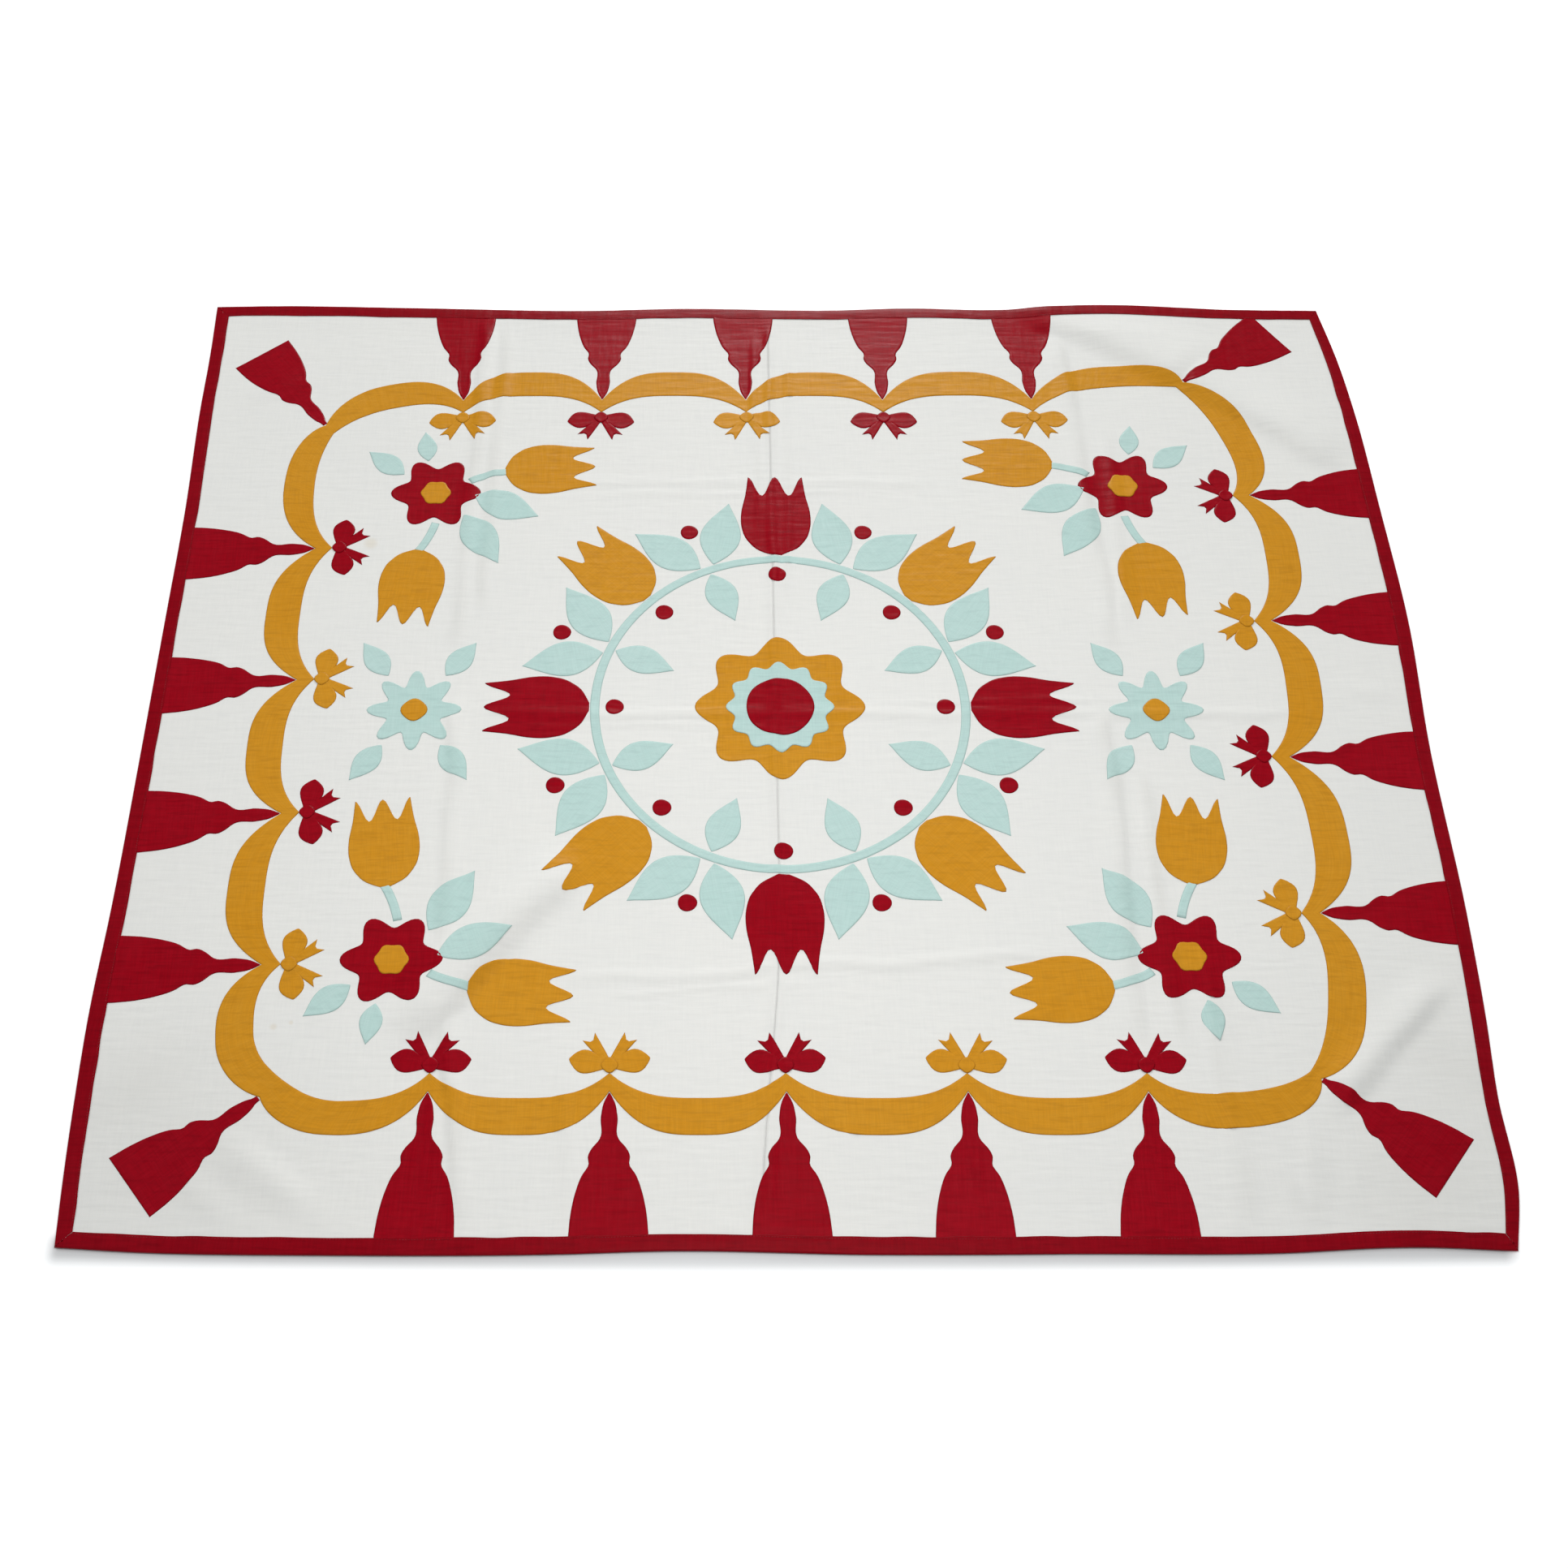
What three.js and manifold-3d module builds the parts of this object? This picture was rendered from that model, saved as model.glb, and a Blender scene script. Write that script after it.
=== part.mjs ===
import * as THREE from "three";
import { mergeVertices } from "three/addons/utils/BufferGeometryUtils.js";
import Module from "manifold-3d";

// An applique quilt lying flat, in millimetres, +Z up, +X along its longer side.
// The origin is on the surface it lies on, under the middle of the quilt.
// "front" is the -Y side, "back" the +Y side, "left" -X and "right" +X.

// Whole quilt
const HALF_WIDTH = 1040;
const HALF_LENGTH = 900;
const SHEET = 2.4;
const CLOTH = 0.7;
const GAP = 0.3;

// Binding: a strip folded round the raw edge, with the sheet held between its two lips
const BINDING_WIDTH = 25;
const FOLD_ROOM = 0.6;
const SHEET_INSET = CLOTH + FOLD_ROOM;
const PATCH_INSET = BINDING_WIDTH + FOLD_ROOM;

// The sheet lies on the surface but rides up on the binding's lower lip at its edge
const EDGE_LIFT = CLOTH + GAP;
const LIFT_FLAT = 28;
const LIFT_REACH = 70;

// Grid of the sheet
const GRID_PITCH = 62;
const LEAST_STEP = 6;
const BOW_REACH = 160;
const END_FADE = 90;

// The quilt isn't quite square: each metre towards the back lies this share of a metre askew
const SKEW = -0.0205;

// How far each side of the quilt draws in from the widest outline, along its length
const SIDE_INSETS = [
  { at: 0, left: 9, right: 44 },
  { at: 0.05, left: 5, right: 25 },
  { at: 0.13, left: 1, right: 25 },
  { at: 0.2, left: 0, right: 17 },
  { at: 0.3, left: 6, right: 11 },
  { at: 0.46, left: 10, right: 11 },
  { at: 0.6, left: 12, right: 0 },
  { at: 0.73, left: 14, right: 5 },
  { at: 0.86, left: 10, right: 13 },
  { at: 0.93, left: 11, right: 24 },
  { at: 1, left: 9, right: 42 },
];
const END_INSETS = [
  { at: 0, front: 11, back: 3 },
  { at: 0.06, front: 4, back: 1 },
  { at: 0.18, front: 0, back: 6 },
  { at: 0.34, front: 1.5, back: 13 },
  { at: 0.41, front: 6, back: 8 },
  { at: 0.55, front: 1, back: 12 },
  { at: 0.62, front: 1, back: 7 },
  { at: 0.68, front: 2, back: 11 },
  { at: 0.82, front: 3, back: 0 },
  { at: 0.9, front: 11, back: 10 },
  { at: 1, front: 6, back: 13 },
];

// Creases where the quilt was folded in quarters, and the soft folds in which it lies
const FOLDS = [
  { name: "middle crease", x0: -15, y0: 885, x1: -15, y1: -885, rise: 4, spread: 24 },
  { name: "left crease, back", x0: -533, y0: 880, x1: -533, y1: 90, rise: 4, spread: 24 },
  { name: "left crease, front", x0: -565, y0: 60, x1: -565, y1: -885, rise: 4, spread: 24 },
  { name: "right crease, back", x0: 533, y0: 885, x1: 533, y1: -60, rise: 4.5, spread: 24 },
  { name: "right crease, front", x0: 510, y0: -90, x1: 510, y1: -885, rise: 3.5, spread: 24 },
  { name: "back cross crease", x0: -400, y0: 480, x1: 290, y1: 480, rise: 3, spread: 24 },
  { name: "middle cross crease", x0: -520, y0: -4, x1: 860, y1: -4, rise: 3.5, spread: 24 },
  { name: "front cross crease", x0: -360, y0: -450, x1: 420, y1: -450, rise: 3, spread: 24 },
  { name: "front left slant", x0: -330, y0: -275, x1: -540, y1: -610, rise: 6, spread: 72 },
  { name: "back right slant", x0: 500, y0: 880, x1: 745, y1: 705, rise: 8, spread: 80 },
  { name: "back right sweep", x0: 735, y0: 700, x1: 990, y1: 500, rise: 7, spread: 85 },
  { name: "front right slant", x0: 1000, y0: -470, x1: 790, y1: -700, rise: 6, spread: 70 },
  { name: "front left pucker", x0: -840, y0: -700, x1: -650, y1: -870, rise: 4, spread: 50 },
  { name: "front right pucker", x0: 728, y0: -680, x1: 716, y1: -880, rise: 3.5, spread: 45 },
];
const CREASE_COLUMNS = [-15, -533, -565, 533, 510];
const CREASE_ROWS = [480, -4, -450];
const CREASE_SPREAD = 24;

// How two swags meet at a joint: how far their inner and outer edges stand out from it, and how
// suddenly they swell from there (a low power makes a soft notch). The corners have their own.
const NOTCH = { inner: -13, outer: 16, power: 3 };
const SOFT_NOTCHES = {
  frontLeft: { inner: -30, outer: 16, power: 1.8 },
  frontRight: { inner: -3, outer: 16, power: 2.4 },
  backRight: { inner: 0, outer: 16, power: 2.2 },
  backLeft: { inner: -9, outer: 16, power: 2 },
};

// Joints of the swag border, anticlockwise from the front left corner. "lean" is the way the
// tassel points, in degrees from +X. A tassel in a corner is free and hangs from a softer notch.
const JOINTS = [
  { x: -760, y: -656, lean: -141, corner: SOFT_NOTCHES.frontLeft },
  { x: -530, y: -641, lean: -91 },
  { x: -268, y: -641, lean: -89 },
  { x: -12, y: -641, lean: -89 },
  { x: 251, y: -641, lean: -91 },
  { x: 512, y: -641, lean: -92 },
  { x: 752, y: -628, lean: -39, corner: SOFT_NOTCHES.frontRight },
  { x: 790, y: -366, lean: 0 },
  { x: 786, y: -85, lean: -2 },
  { x: 796, y: 182, lean: 1 },
  { x: 797, y: 450, lean: 1 },
  { x: 716, y: 698, lean: 35, corner: SOFT_NOTCHES.backRight },
  { x: 455, y: 655, lean: 91 },
  { x: 188, y: 653, lean: 90 },
  { x: -56, y: 653, lean: 91 },
  { x: -314, y: 653, lean: 89 },
  { x: -561, y: 652, lean: 92 },
  { x: -792, y: 597, lean: 128, corner: SOFT_NOTCHES.backLeft },
  { x: -777, y: 335, lean: 183 },
  { x: -780, y: 64, lean: 183 },
  { x: -778, y: -189, lean: 184 },
  { x: -778, y: -453, lean: 182 },
];

// A swag is a curved band: how far its two edges stand out from the line between its joints at
// the middle
const SWAG = { inner: 26, outer: 83, steps: 10 };
const JOINT_GAP = 0.5;

// A tassel: half its width at stations along its length, from the tip of its cord to its hem
const TASSEL_START = 18;
const TASSEL_LENGTH = 214;
const TASSEL_OVERRUN = 1.2;
const TASSEL_PROFILE = [
  { along: 0, half: 0.8 },
  { along: 0.07, half: 8 },
  { along: 0.17, half: 12 },
  { along: 0.34, half: 15 },
  { along: 0.39, half: 24 },
  { along: 0.45, half: 30 },
  { along: 0.51, half: 29 },
  { along: 0.58, half: 38 },
  { along: 0.7, half: 47 },
  { along: 0.84, half: 53 },
  { along: 1, half: 56 },
];

// Field: rosette, wreath and corner flowers
const CENTRE = { x: -8, y: 10 };
const ROSETTE = { petals: 8, mean: 124, depth: 14, steps: 48 };
const ROSETTE_RING = { petals: 12, mean: 82, depth: 6, steps: 48 };
const ROSETTE_DISC_RADIUS = 55;
const ROSETTE_DISC_STEPS = 28;
const WREATH = { radius: 300, width: 15, steps: 48 };
const FLOWER = { petals: 6, mean: 66, depth: 12, steps: 36 };
const FLOWERS = [
  { x: -600, y: -445 },
  { x: 598, y: -440 },
  { x: 596, y: 470 },
  { x: -596, y: 455 },
];

// Heights of the patches above the sheet
const LAYER = CLOTH + GAP;

const PRISM_HEIGHT = 60;

const wasm = await Module();
wasm.setup();

// Turns a closed indexed geometry into a solid that can be cut
function solidOf(geometry) {
  const bare = geometry.clone();
  bare.deleteAttribute("normal");
  bare.deleteAttribute("uv");
  const merged = mergeVertices(bare);
  const vertProperties = new Float32Array(merged.attributes.position.array);
  const triVerts = new Uint32Array(merged.index.array);
  return new wasm.Manifold(new wasm.Mesh({ numProp: 3, vertProperties, triVerts }));
}

// Turns a cut solid back into a geometry
function geometryOf(solid) {
  const mesh = solid.getMesh();
  const geometry = new THREE.BufferGeometry();
  geometry.setAttribute("position", new THREE.BufferAttribute(mesh.vertProperties, 3));
  geometry.setIndex(new THREE.BufferAttribute(mesh.triVerts, 1));
  return geometry;
}

// Reads one column of an inset table at a fraction of the side, straight between its rows
function insetAt(table, column, fraction) {
  const at = Math.min(Math.max(fraction, 0), 1);
  const next = Math.max(1, table.findIndex((row) => row.at >= at));
  const low = table[next - 1];
  const high = table[next];
  return THREE.MathUtils.mapLinear(at, low.at, high.at, low[column], high[column]);
}

// Share of a side's inset that reaches a point this far in from the side
function pull(distance) {
  return Math.max(0, 1 - distance / BOW_REACH);
}

// Moves a point of the plain rectangle to its place in the uneven outline
function place(x, y) {
  const alongSide = (y + HALF_LENGTH) / (2 * HALF_LENGTH);
  const alongEnd = (x + HALF_WIDTH) / (2 * HALF_WIDTH);
  const left = insetAt(SIDE_INSETS, "left", alongSide) * pull(HALF_WIDTH + x);
  const right = insetAt(SIDE_INSETS, "right", alongSide) * pull(HALF_WIDTH - x);
  const front = insetAt(END_INSETS, "front", alongEnd) * pull(HALF_LENGTH + y);
  const back = insetAt(END_INSETS, "back", alongEnd) * pull(HALF_LENGTH - y);
  return new THREE.Vector2(x + left - right, y + front - back);
}

// Height of one fold: a rounded ridge along its line, fading out at both ends
function foldHeight(fold, point) {
  const start = new THREE.Vector2(fold.x0, fold.y0);
  const line = new THREE.Vector2(fold.x1, fold.y1).sub(start);
  const length = line.length();
  line.normalize();
  const offset = point.clone().sub(start);
  const along = offset.dot(line);
  const across = Math.abs(offset.cross(line));
  const toEnd = Math.min(along, length - along);
  if (across >= fold.spread || toEnd <= 0) {
    return 0;
  }
  const round = Math.cos((Math.PI / 2) * (across / fold.spread)) ** 2;
  const fade = Math.sin((Math.PI / 2) * Math.min(1, toEnd / END_FADE)) ** 2;
  return fold.rise * round * fade;
}

// Height of the sheet's underside at a point of the plain rectangle
function sheetHeight(x, y) {
  const point = place(x, y);
  const folds = Math.max(...FOLDS.map((fold) => foldHeight(fold, point)));
  const fromEdge = Math.min(HALF_WIDTH - Math.abs(x), HALF_LENGTH - Math.abs(y));
  const lift = THREE.MathUtils.clamp((LIFT_REACH - fromEdge) / (LIFT_REACH - LIFT_FLAT), 0, 1);
  return folds * (1 - lift) + EDGE_LIFT * lift;
}

// Grid stations from -half to half, inset at both ends, with the given marks kept
function stations(half, inset, table, creases) {
  const margins = [inset, LIFT_FLAT, LIFT_REACH, BOW_REACH].flatMap((d) => [d - half, half - d]);
  const bends = table.slice(1, -1).map((row) => (row.at * 2 - 1) * half);
  const ridges = creases.flatMap((c) => [c, c - CREASE_SPREAD, c + CREASE_SPREAD]);
  const kept = [];
  for (const mark of [...margins, ...bends, ...ridges]) {
    if (kept.every((other) => Math.abs(other - mark) >= LEAST_STEP || mark === other)) {
      kept.push(mark);
    }
  }
  kept.sort((a, b) => a - b);
  return kept.flatMap((mark, i) => {
    const span = i === 0 ? 0 : mark - kept[i - 1];
    const steps = Math.max(1, Math.ceil(span / GRID_PITCH));
    return Array.from({ length: steps }, (_, k) => mark - (span * (steps - 1 - k)) / steps);
  });
}

// Triangles between two rows of nodes over the same stretch, anticlockwise seen from above
function zip(near, far, columnOf) {
  const faces = [];
  let n = 0;
  let f = 0;
  while (n + 1 < near.length || f + 1 < far.length) {
    const nearNext = n + 1 < near.length ? columnOf(near[n + 1]) : Infinity;
    const farNext = f + 1 < far.length ? columnOf(far[f + 1]) : Infinity;
    if (nearNext <= farNext) {
      faces.push([near[n], near[n + 1], far[f]]);
      n += 1;
    } else {
      faces.push([near[n], far[f + 1], far[f]]);
      f += 1;
    }
  }
  return faces;
}

// Faces of a grid of heights. Level cells that lie side by side in a row become one polygon,
// and a node is used only where it is on the rim or touches a cell that isn't level.
function gridFaces(heights) {
  const columns = heights[0].length;
  const rows = heights.length;
  const isLevel = (i, j) => {
    const h = heights[j][i];
    return heights[j][i + 1] === h && heights[j + 1][i] === h && heights[j + 1][i + 1] === h;
  };
  const isUsed = (i, j) => {
    const onRim = i === 0 || j === 0 || i === columns - 1 || j === rows - 1;
    return onRim || !(isLevel(i - 1, j - 1) && isLevel(i, j - 1) && isLevel(i - 1, j) && isLevel(i, j));
  };
  const nodes = (j, from, to) => {
    const ids = [];
    for (let i = from; i <= to; i += 1) {
      if (isUsed(i, j)) {
        ids.push(j * columns + i);
      }
    }
    return ids;
  };
  const faces = [];
  for (let j = 0; j + 1 < rows; j += 1) {
    let from = 0;
    while (from + 1 < columns) {
      let to = from + 1;
      while (isLevel(from, j) && to + 1 < columns && isLevel(to, j)) {
        to += 1;
      }
      faces.push(...zip(nodes(j, from, to), nodes(j + 1, from, to), (id) => id % columns));
      from = to;
    }
  }
  return faces;
}

// Nodes round the rim of a grid, anticlockwise seen from above
function rimOf(columns, rows) {
  const rim = [];
  for (let i = 0; i + 1 < columns; i += 1) {
    rim.push(i);
  }
  for (let j = 0; j + 1 < rows; j += 1) {
    rim.push(j * columns + columns - 1);
  }
  for (let i = columns - 1; i > 0; i -= 1) {
    rim.push((rows - 1) * columns + i);
  }
  for (let j = rows - 1; j > 0; j -= 1) {
    rim.push(j * columns);
  }
  return rim;
}

// A thin slab that follows the lying sheet between two heights above its underside
function slab(low, high, inset) {
  const xs = stations(HALF_WIDTH, inset, END_INSETS, CREASE_COLUMNS);
  const ys = stations(HALF_LENGTH, inset, SIDE_INSETS, CREASE_ROWS);
  const heights = ys.map((y) => xs.map((x) => sheetHeight(x, y)));
  const positions = [];
  for (const lift of [low, high]) {
    ys.forEach((y, j) => {
      xs.forEach((x, i) => {
        const point = place(x, y);
        positions.push(point.x, point.y, heights[j][i] + lift);
      });
    });
  }
  const layer = xs.length * ys.length;
  const index = gridFaces(heights).flatMap(([a, b, c]) => [layer + a, layer + b, layer + c, a, c, b]);
  const rim = rimOf(xs.length, ys.length);
  rim.forEach((a, k) => {
    const b = rim[(k + 1) % rim.length];
    index.push(a, b, layer + b, a, layer + b, layer + a);
  });
  const geometry = new THREE.BufferGeometry();
  geometry.setAttribute("position", new THREE.Float32BufferAttribute(positions, 3));
  geometry.setIndex(index);
  return solidOf(geometry);
}

// An upright prism of an outline, used to cut a patch out of a slab
function prism(outline) {
  const shape = new THREE.Shape(outline);
  const geometry = new THREE.ExtrudeGeometry(shape, { depth: PRISM_HEIGHT, bevelEnabled: false });
  geometry.translate(0, 0, -PRISM_HEIGHT / 2);
  return solidOf(geometry);
}

// The folded strip along one side: a section of two lips and a bend, carried along the side
function bindingGeometry(side) {
  const onSide = side === "left" || side === "right";
  const half = onSide ? HALF_WIDTH : HALF_LENGTH;
  const reach = onSide ? HALF_LENGTH : HALF_WIDTH;
  const sign = side === "left" || side === "front" ? -1 : 1;
  const table = onSide ? SIDE_INSETS : END_INSETS;
  const under = EDGE_LIFT - GAP;
  const over = EDGE_LIFT + SHEET + GAP;
  const section = [
    { into: 0, z: 0 },
    { into: BINDING_WIDTH, z: 0 },
    { into: BINDING_WIDTH, z: under },
    { into: CLOTH, z: under },
    { into: CLOTH, z: over },
    { into: BINDING_WIDTH, z: over },
    { into: BINDING_WIDTH, z: over + CLOTH },
    { into: 0, z: over + CLOTH },
  ];
  const positions = [];
  for (const row of table) {
    for (const { into, z } of section) {
      const mitre = reach - into - GAP;
      const along = THREE.MathUtils.clamp((row.at * 2 - 1) * reach, -mitre, mitre);
      const across = sign * (half - into);
      const point = onSide ? place(across, along) : place(along, across);
      positions.push(point.x, point.y, z);
    }
  }
  const ring = section.length;
  const turned = onSide ? sign > 0 : sign < 0;
  const index = [];
  const triangle = (a, b, c) => (turned ? index.push(a, b, c) : index.push(a, c, b));
  for (let j = 0; j + 1 < table.length; j += 1) {
    for (let i = 0; i < ring; i += 1) {
      const a = j * ring + i;
      const b = j * ring + ((i + 1) % ring);
      triangle(a, b, b + ring);
      triangle(a, b + ring, a + ring);
    }
  }
  const flat = section.map(({ into, z }) => new THREE.Vector2(into, z));
  const last = (table.length - 1) * ring;
  for (const [a, b, c] of THREE.ShapeUtils.triangulateShape(flat, [])) {
    triangle(a, c, b);
    triangle(last + a, last + b, last + c);
  }
  const geometry = new THREE.BufferGeometry();
  geometry.setAttribute("position", new THREE.Float32BufferAttribute(positions, 3));
  geometry.setIndex(index);
  return geometry;
}

// Unit vector in which a joint's tassel points
function outward(joint) {
  return new THREE.Vector2(1, 0).rotateAround(new THREE.Vector2(), THREE.MathUtils.degToRad(joint.lean));
}

// Outline of the swag between two neighbouring joints
function swagOutline(from, to) {
  const start = new THREE.Vector2(from.x, from.y);
  const end = new THREE.Vector2(to.x, to.y);
  const along = end.clone().sub(start).normalize().multiplyScalar(JOINT_GAP);
  start.add(along);
  end.sub(along);
  const edge = (column) =>
    Array.from({ length: SWAG.steps + 1 }, (_, i) => {
      const s = i / SWAG.steps;
      const notch = (s < 0.5 ? from : to).corner ?? NOTCH;
      const out = outward(from).lerp(outward(to), s).normalize();
      const swell = 1 - Math.abs(2 * s - 1) ** notch.power;
      const offset = THREE.MathUtils.lerp(notch[column], SWAG[column], swell);
      return start.clone().lerp(end, s).addScaledVector(out, offset);
    });
  return [...edge("outer"), ...edge("inner").reverse()];
}

// Outline of the tassel at a joint; a side tassel runs on and is trimmed at the binding
function tasselOutline(joint) {
  const out = outward(joint);
  const side = new THREE.Vector2(-out.y, out.x);
  const root = new THREE.Vector2(joint.x, joint.y).addScaledVector(out, TASSEL_START);
  const overrun = { along: TASSEL_OVERRUN, half: TASSEL_PROFILE.at(-1).half };
  const rows = joint.corner ? TASSEL_PROFILE : [...TASSEL_PROFILE, overrun];
  const edge = (sign) =>
    rows.map(({ along, half }) =>
      root.clone().addScaledVector(out, along * TASSEL_LENGTH).addScaledVector(side, sign * half),
    );
  return [...edge(-1), ...edge(1).reverse()];
}

// Outline of a flower: a circle whose radius swells once for each petal
function lobedOutline(centre, { petals, mean, depth, steps }) {
  return Array.from({ length: steps }, (_, i) => {
    const angle = (i / steps) * 2 * Math.PI;
    const radius = mean + depth * Math.cos(petals * angle);
    return new THREE.Vector2(centre.x + radius * Math.cos(angle), centre.y + radius * Math.sin(angle));
  });
}

const material = (color, roughness) => new THREE.MeshStandardMaterial({ color, roughness, metalness: 0 });
const white = material(0xe6e7e2, 0.92);
const red = material(0x9b1c27, 0.9);
const amber = material(0xcc9030, 0.9);
const aqua = material(0xb8d6d1, 0.9);

const quilt = new THREE.Group();
const askew = new THREE.Matrix4().makeShear(0, 0, SKEW, 0, 0, 0);

function add(name, geometry, finish) {
  geometry.applyMatrix4(askew);
  const mesh = new THREE.Mesh(geometry, finish);
  mesh.name = name;
  quilt.add(mesh);
}

const numbered = (name, i) => `${name}_${String(i + 1).padStart(2, "0")}`;

// Sheet and binding
add("quilt_body", geometryOf(slab(0, SHEET, SHEET_INSET)), white);
for (const side of ["front", "back", "left", "right"]) {
  add(`binding_${side}`, bindingGeometry(side), red);
}

// Layers of cloth from which patches are cut, each one above the last
const layers = [0, 1, 2].map((level) => {
  const low = SHEET + GAP + level * LAYER;
  return slab(low, low + CLOTH, PATCH_INSET);
});

function addPatch(name, outline, level, finish, hole = null) {
  let patch = layers[level].intersect(prism(outline));
  if (hole) {
    patch = patch.subtract(prism(hole));
  }
  add(name, geometryOf(patch), finish);
}

// Border
JOINTS.forEach((joint, i) => {
  const next = JOINTS[(i + 1) % JOINTS.length];
  addPatch(numbered("swag", i), swagOutline(joint, next), 0, amber);
  addPatch(numbered("tassel", i), tasselOutline(joint), 0, red);
});

// Field
const circle = (radius, steps) => lobedOutline(CENTRE, { petals: 1, mean: radius, depth: 0, steps });
addPatch("rosette_petals", lobedOutline(CENTRE, ROSETTE), 0, amber);
addPatch("rosette_ring", lobedOutline(CENTRE, ROSETTE_RING), 1, aqua);
addPatch("rosette_centre", circle(ROSETTE_DISC_RADIUS, ROSETTE_DISC_STEPS), 2, red);
const wreathOuter = circle(WREATH.radius + WREATH.width / 2, WREATH.steps);
const wreathInner = circle(WREATH.radius - WREATH.width / 2, WREATH.steps);
addPatch("wreath_ring", wreathOuter, 0, aqua, wreathInner);
FLOWERS.forEach((centre, i) => {
  addPatch(numbered("flower", i), lobedOutline(centre, FLOWER), 0, red);
});

const middle = new THREE.Box3().setFromObject(quilt, true).getCenter(new THREE.Vector3());
quilt.position.set(-middle.x, -middle.y, 0);

export default quilt;
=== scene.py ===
"""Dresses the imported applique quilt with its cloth, patches, binding and stitching.

The quilt's own plan is in millimetres: +X along its longer side, +Y towards its back edge, +Z up, with the
plan's origin near the middle of the field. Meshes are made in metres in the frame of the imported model.
"""

from __future__ import annotations

import logging
import math
from dataclasses import dataclass
from enum import Enum
from typing import Any, Callable, Sequence

import bpy
import numpy as np
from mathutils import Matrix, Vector

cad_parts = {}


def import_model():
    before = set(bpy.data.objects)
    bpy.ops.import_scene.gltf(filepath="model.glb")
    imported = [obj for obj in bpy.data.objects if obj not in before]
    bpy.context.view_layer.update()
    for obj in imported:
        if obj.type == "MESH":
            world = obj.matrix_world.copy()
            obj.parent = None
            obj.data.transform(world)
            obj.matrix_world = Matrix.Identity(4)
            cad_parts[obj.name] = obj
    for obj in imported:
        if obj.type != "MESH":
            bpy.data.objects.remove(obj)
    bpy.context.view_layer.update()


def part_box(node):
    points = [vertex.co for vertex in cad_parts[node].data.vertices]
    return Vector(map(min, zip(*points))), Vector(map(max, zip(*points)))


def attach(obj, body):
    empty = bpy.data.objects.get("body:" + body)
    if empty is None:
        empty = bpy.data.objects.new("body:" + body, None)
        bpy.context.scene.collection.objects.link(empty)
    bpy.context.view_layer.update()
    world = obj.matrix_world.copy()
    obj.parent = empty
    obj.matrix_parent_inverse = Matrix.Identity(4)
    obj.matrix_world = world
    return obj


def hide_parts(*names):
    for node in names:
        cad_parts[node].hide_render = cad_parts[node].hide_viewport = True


LOG = logging.getLogger("quilt")
Array = np.ndarray
MM = 0.001

# The distance from a cut edge, in millimetres, that stands for nowhere near one
NO_EDGE = 9.0

# How far in from a cut edge a patch has its closest points
RIM_STATIONS = np.array([0.0, 0.7, 1.8, 3.6])


def rows_of(columns: str, *rows: tuple[float, ...]) -> Array:
    """A table with a name for each column.

    Args:
        columns: names of the columns, with spaces between.
        rows: the rows of numbers.

    Returns:
        The table, whose columns are read by name.
    """
    return np.array(list(rows), dtype=[(name, float) for name in columns.split()])


# Camera: where it stands in the plan, how far it looks below the horizon, and its lens
CAMERA_AT = (4.6, -1793.0, 2713.0)
CAMERA_PITCH = 58.56
CAMERA_LENS = 46.14
CAMERA_SENSOR = 36.0

# The outline: how far each side draws in from the widest outline, at fractions of its length
SIDE_INSETS = rows_of(
    "at left right",
    (0.00, 9, 44), (0.05, 5, 25), (0.13, 1, 25), (0.20, 0, 17),
    (0.30, 6, 11), (0.46, 10, 11), (0.60, 12, 0), (0.73, 14, 5),
    (0.86, 10, 13), (0.93, 11, 24), (1.00, 9, 42),
)
END_INSETS = rows_of(
    "at front back",
    (0.00, 11, 3), (0.06, 4, 1), (0.18, 0, 6), (0.34, 1.5, 13),
    (0.41, 6, 8), (0.55, 1, 12), (0.62, 1, 7), (0.68, 2, 11),
    (0.82, 3, 0), (0.90, 11, 10), (1.00, 6, 13),
)

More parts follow.
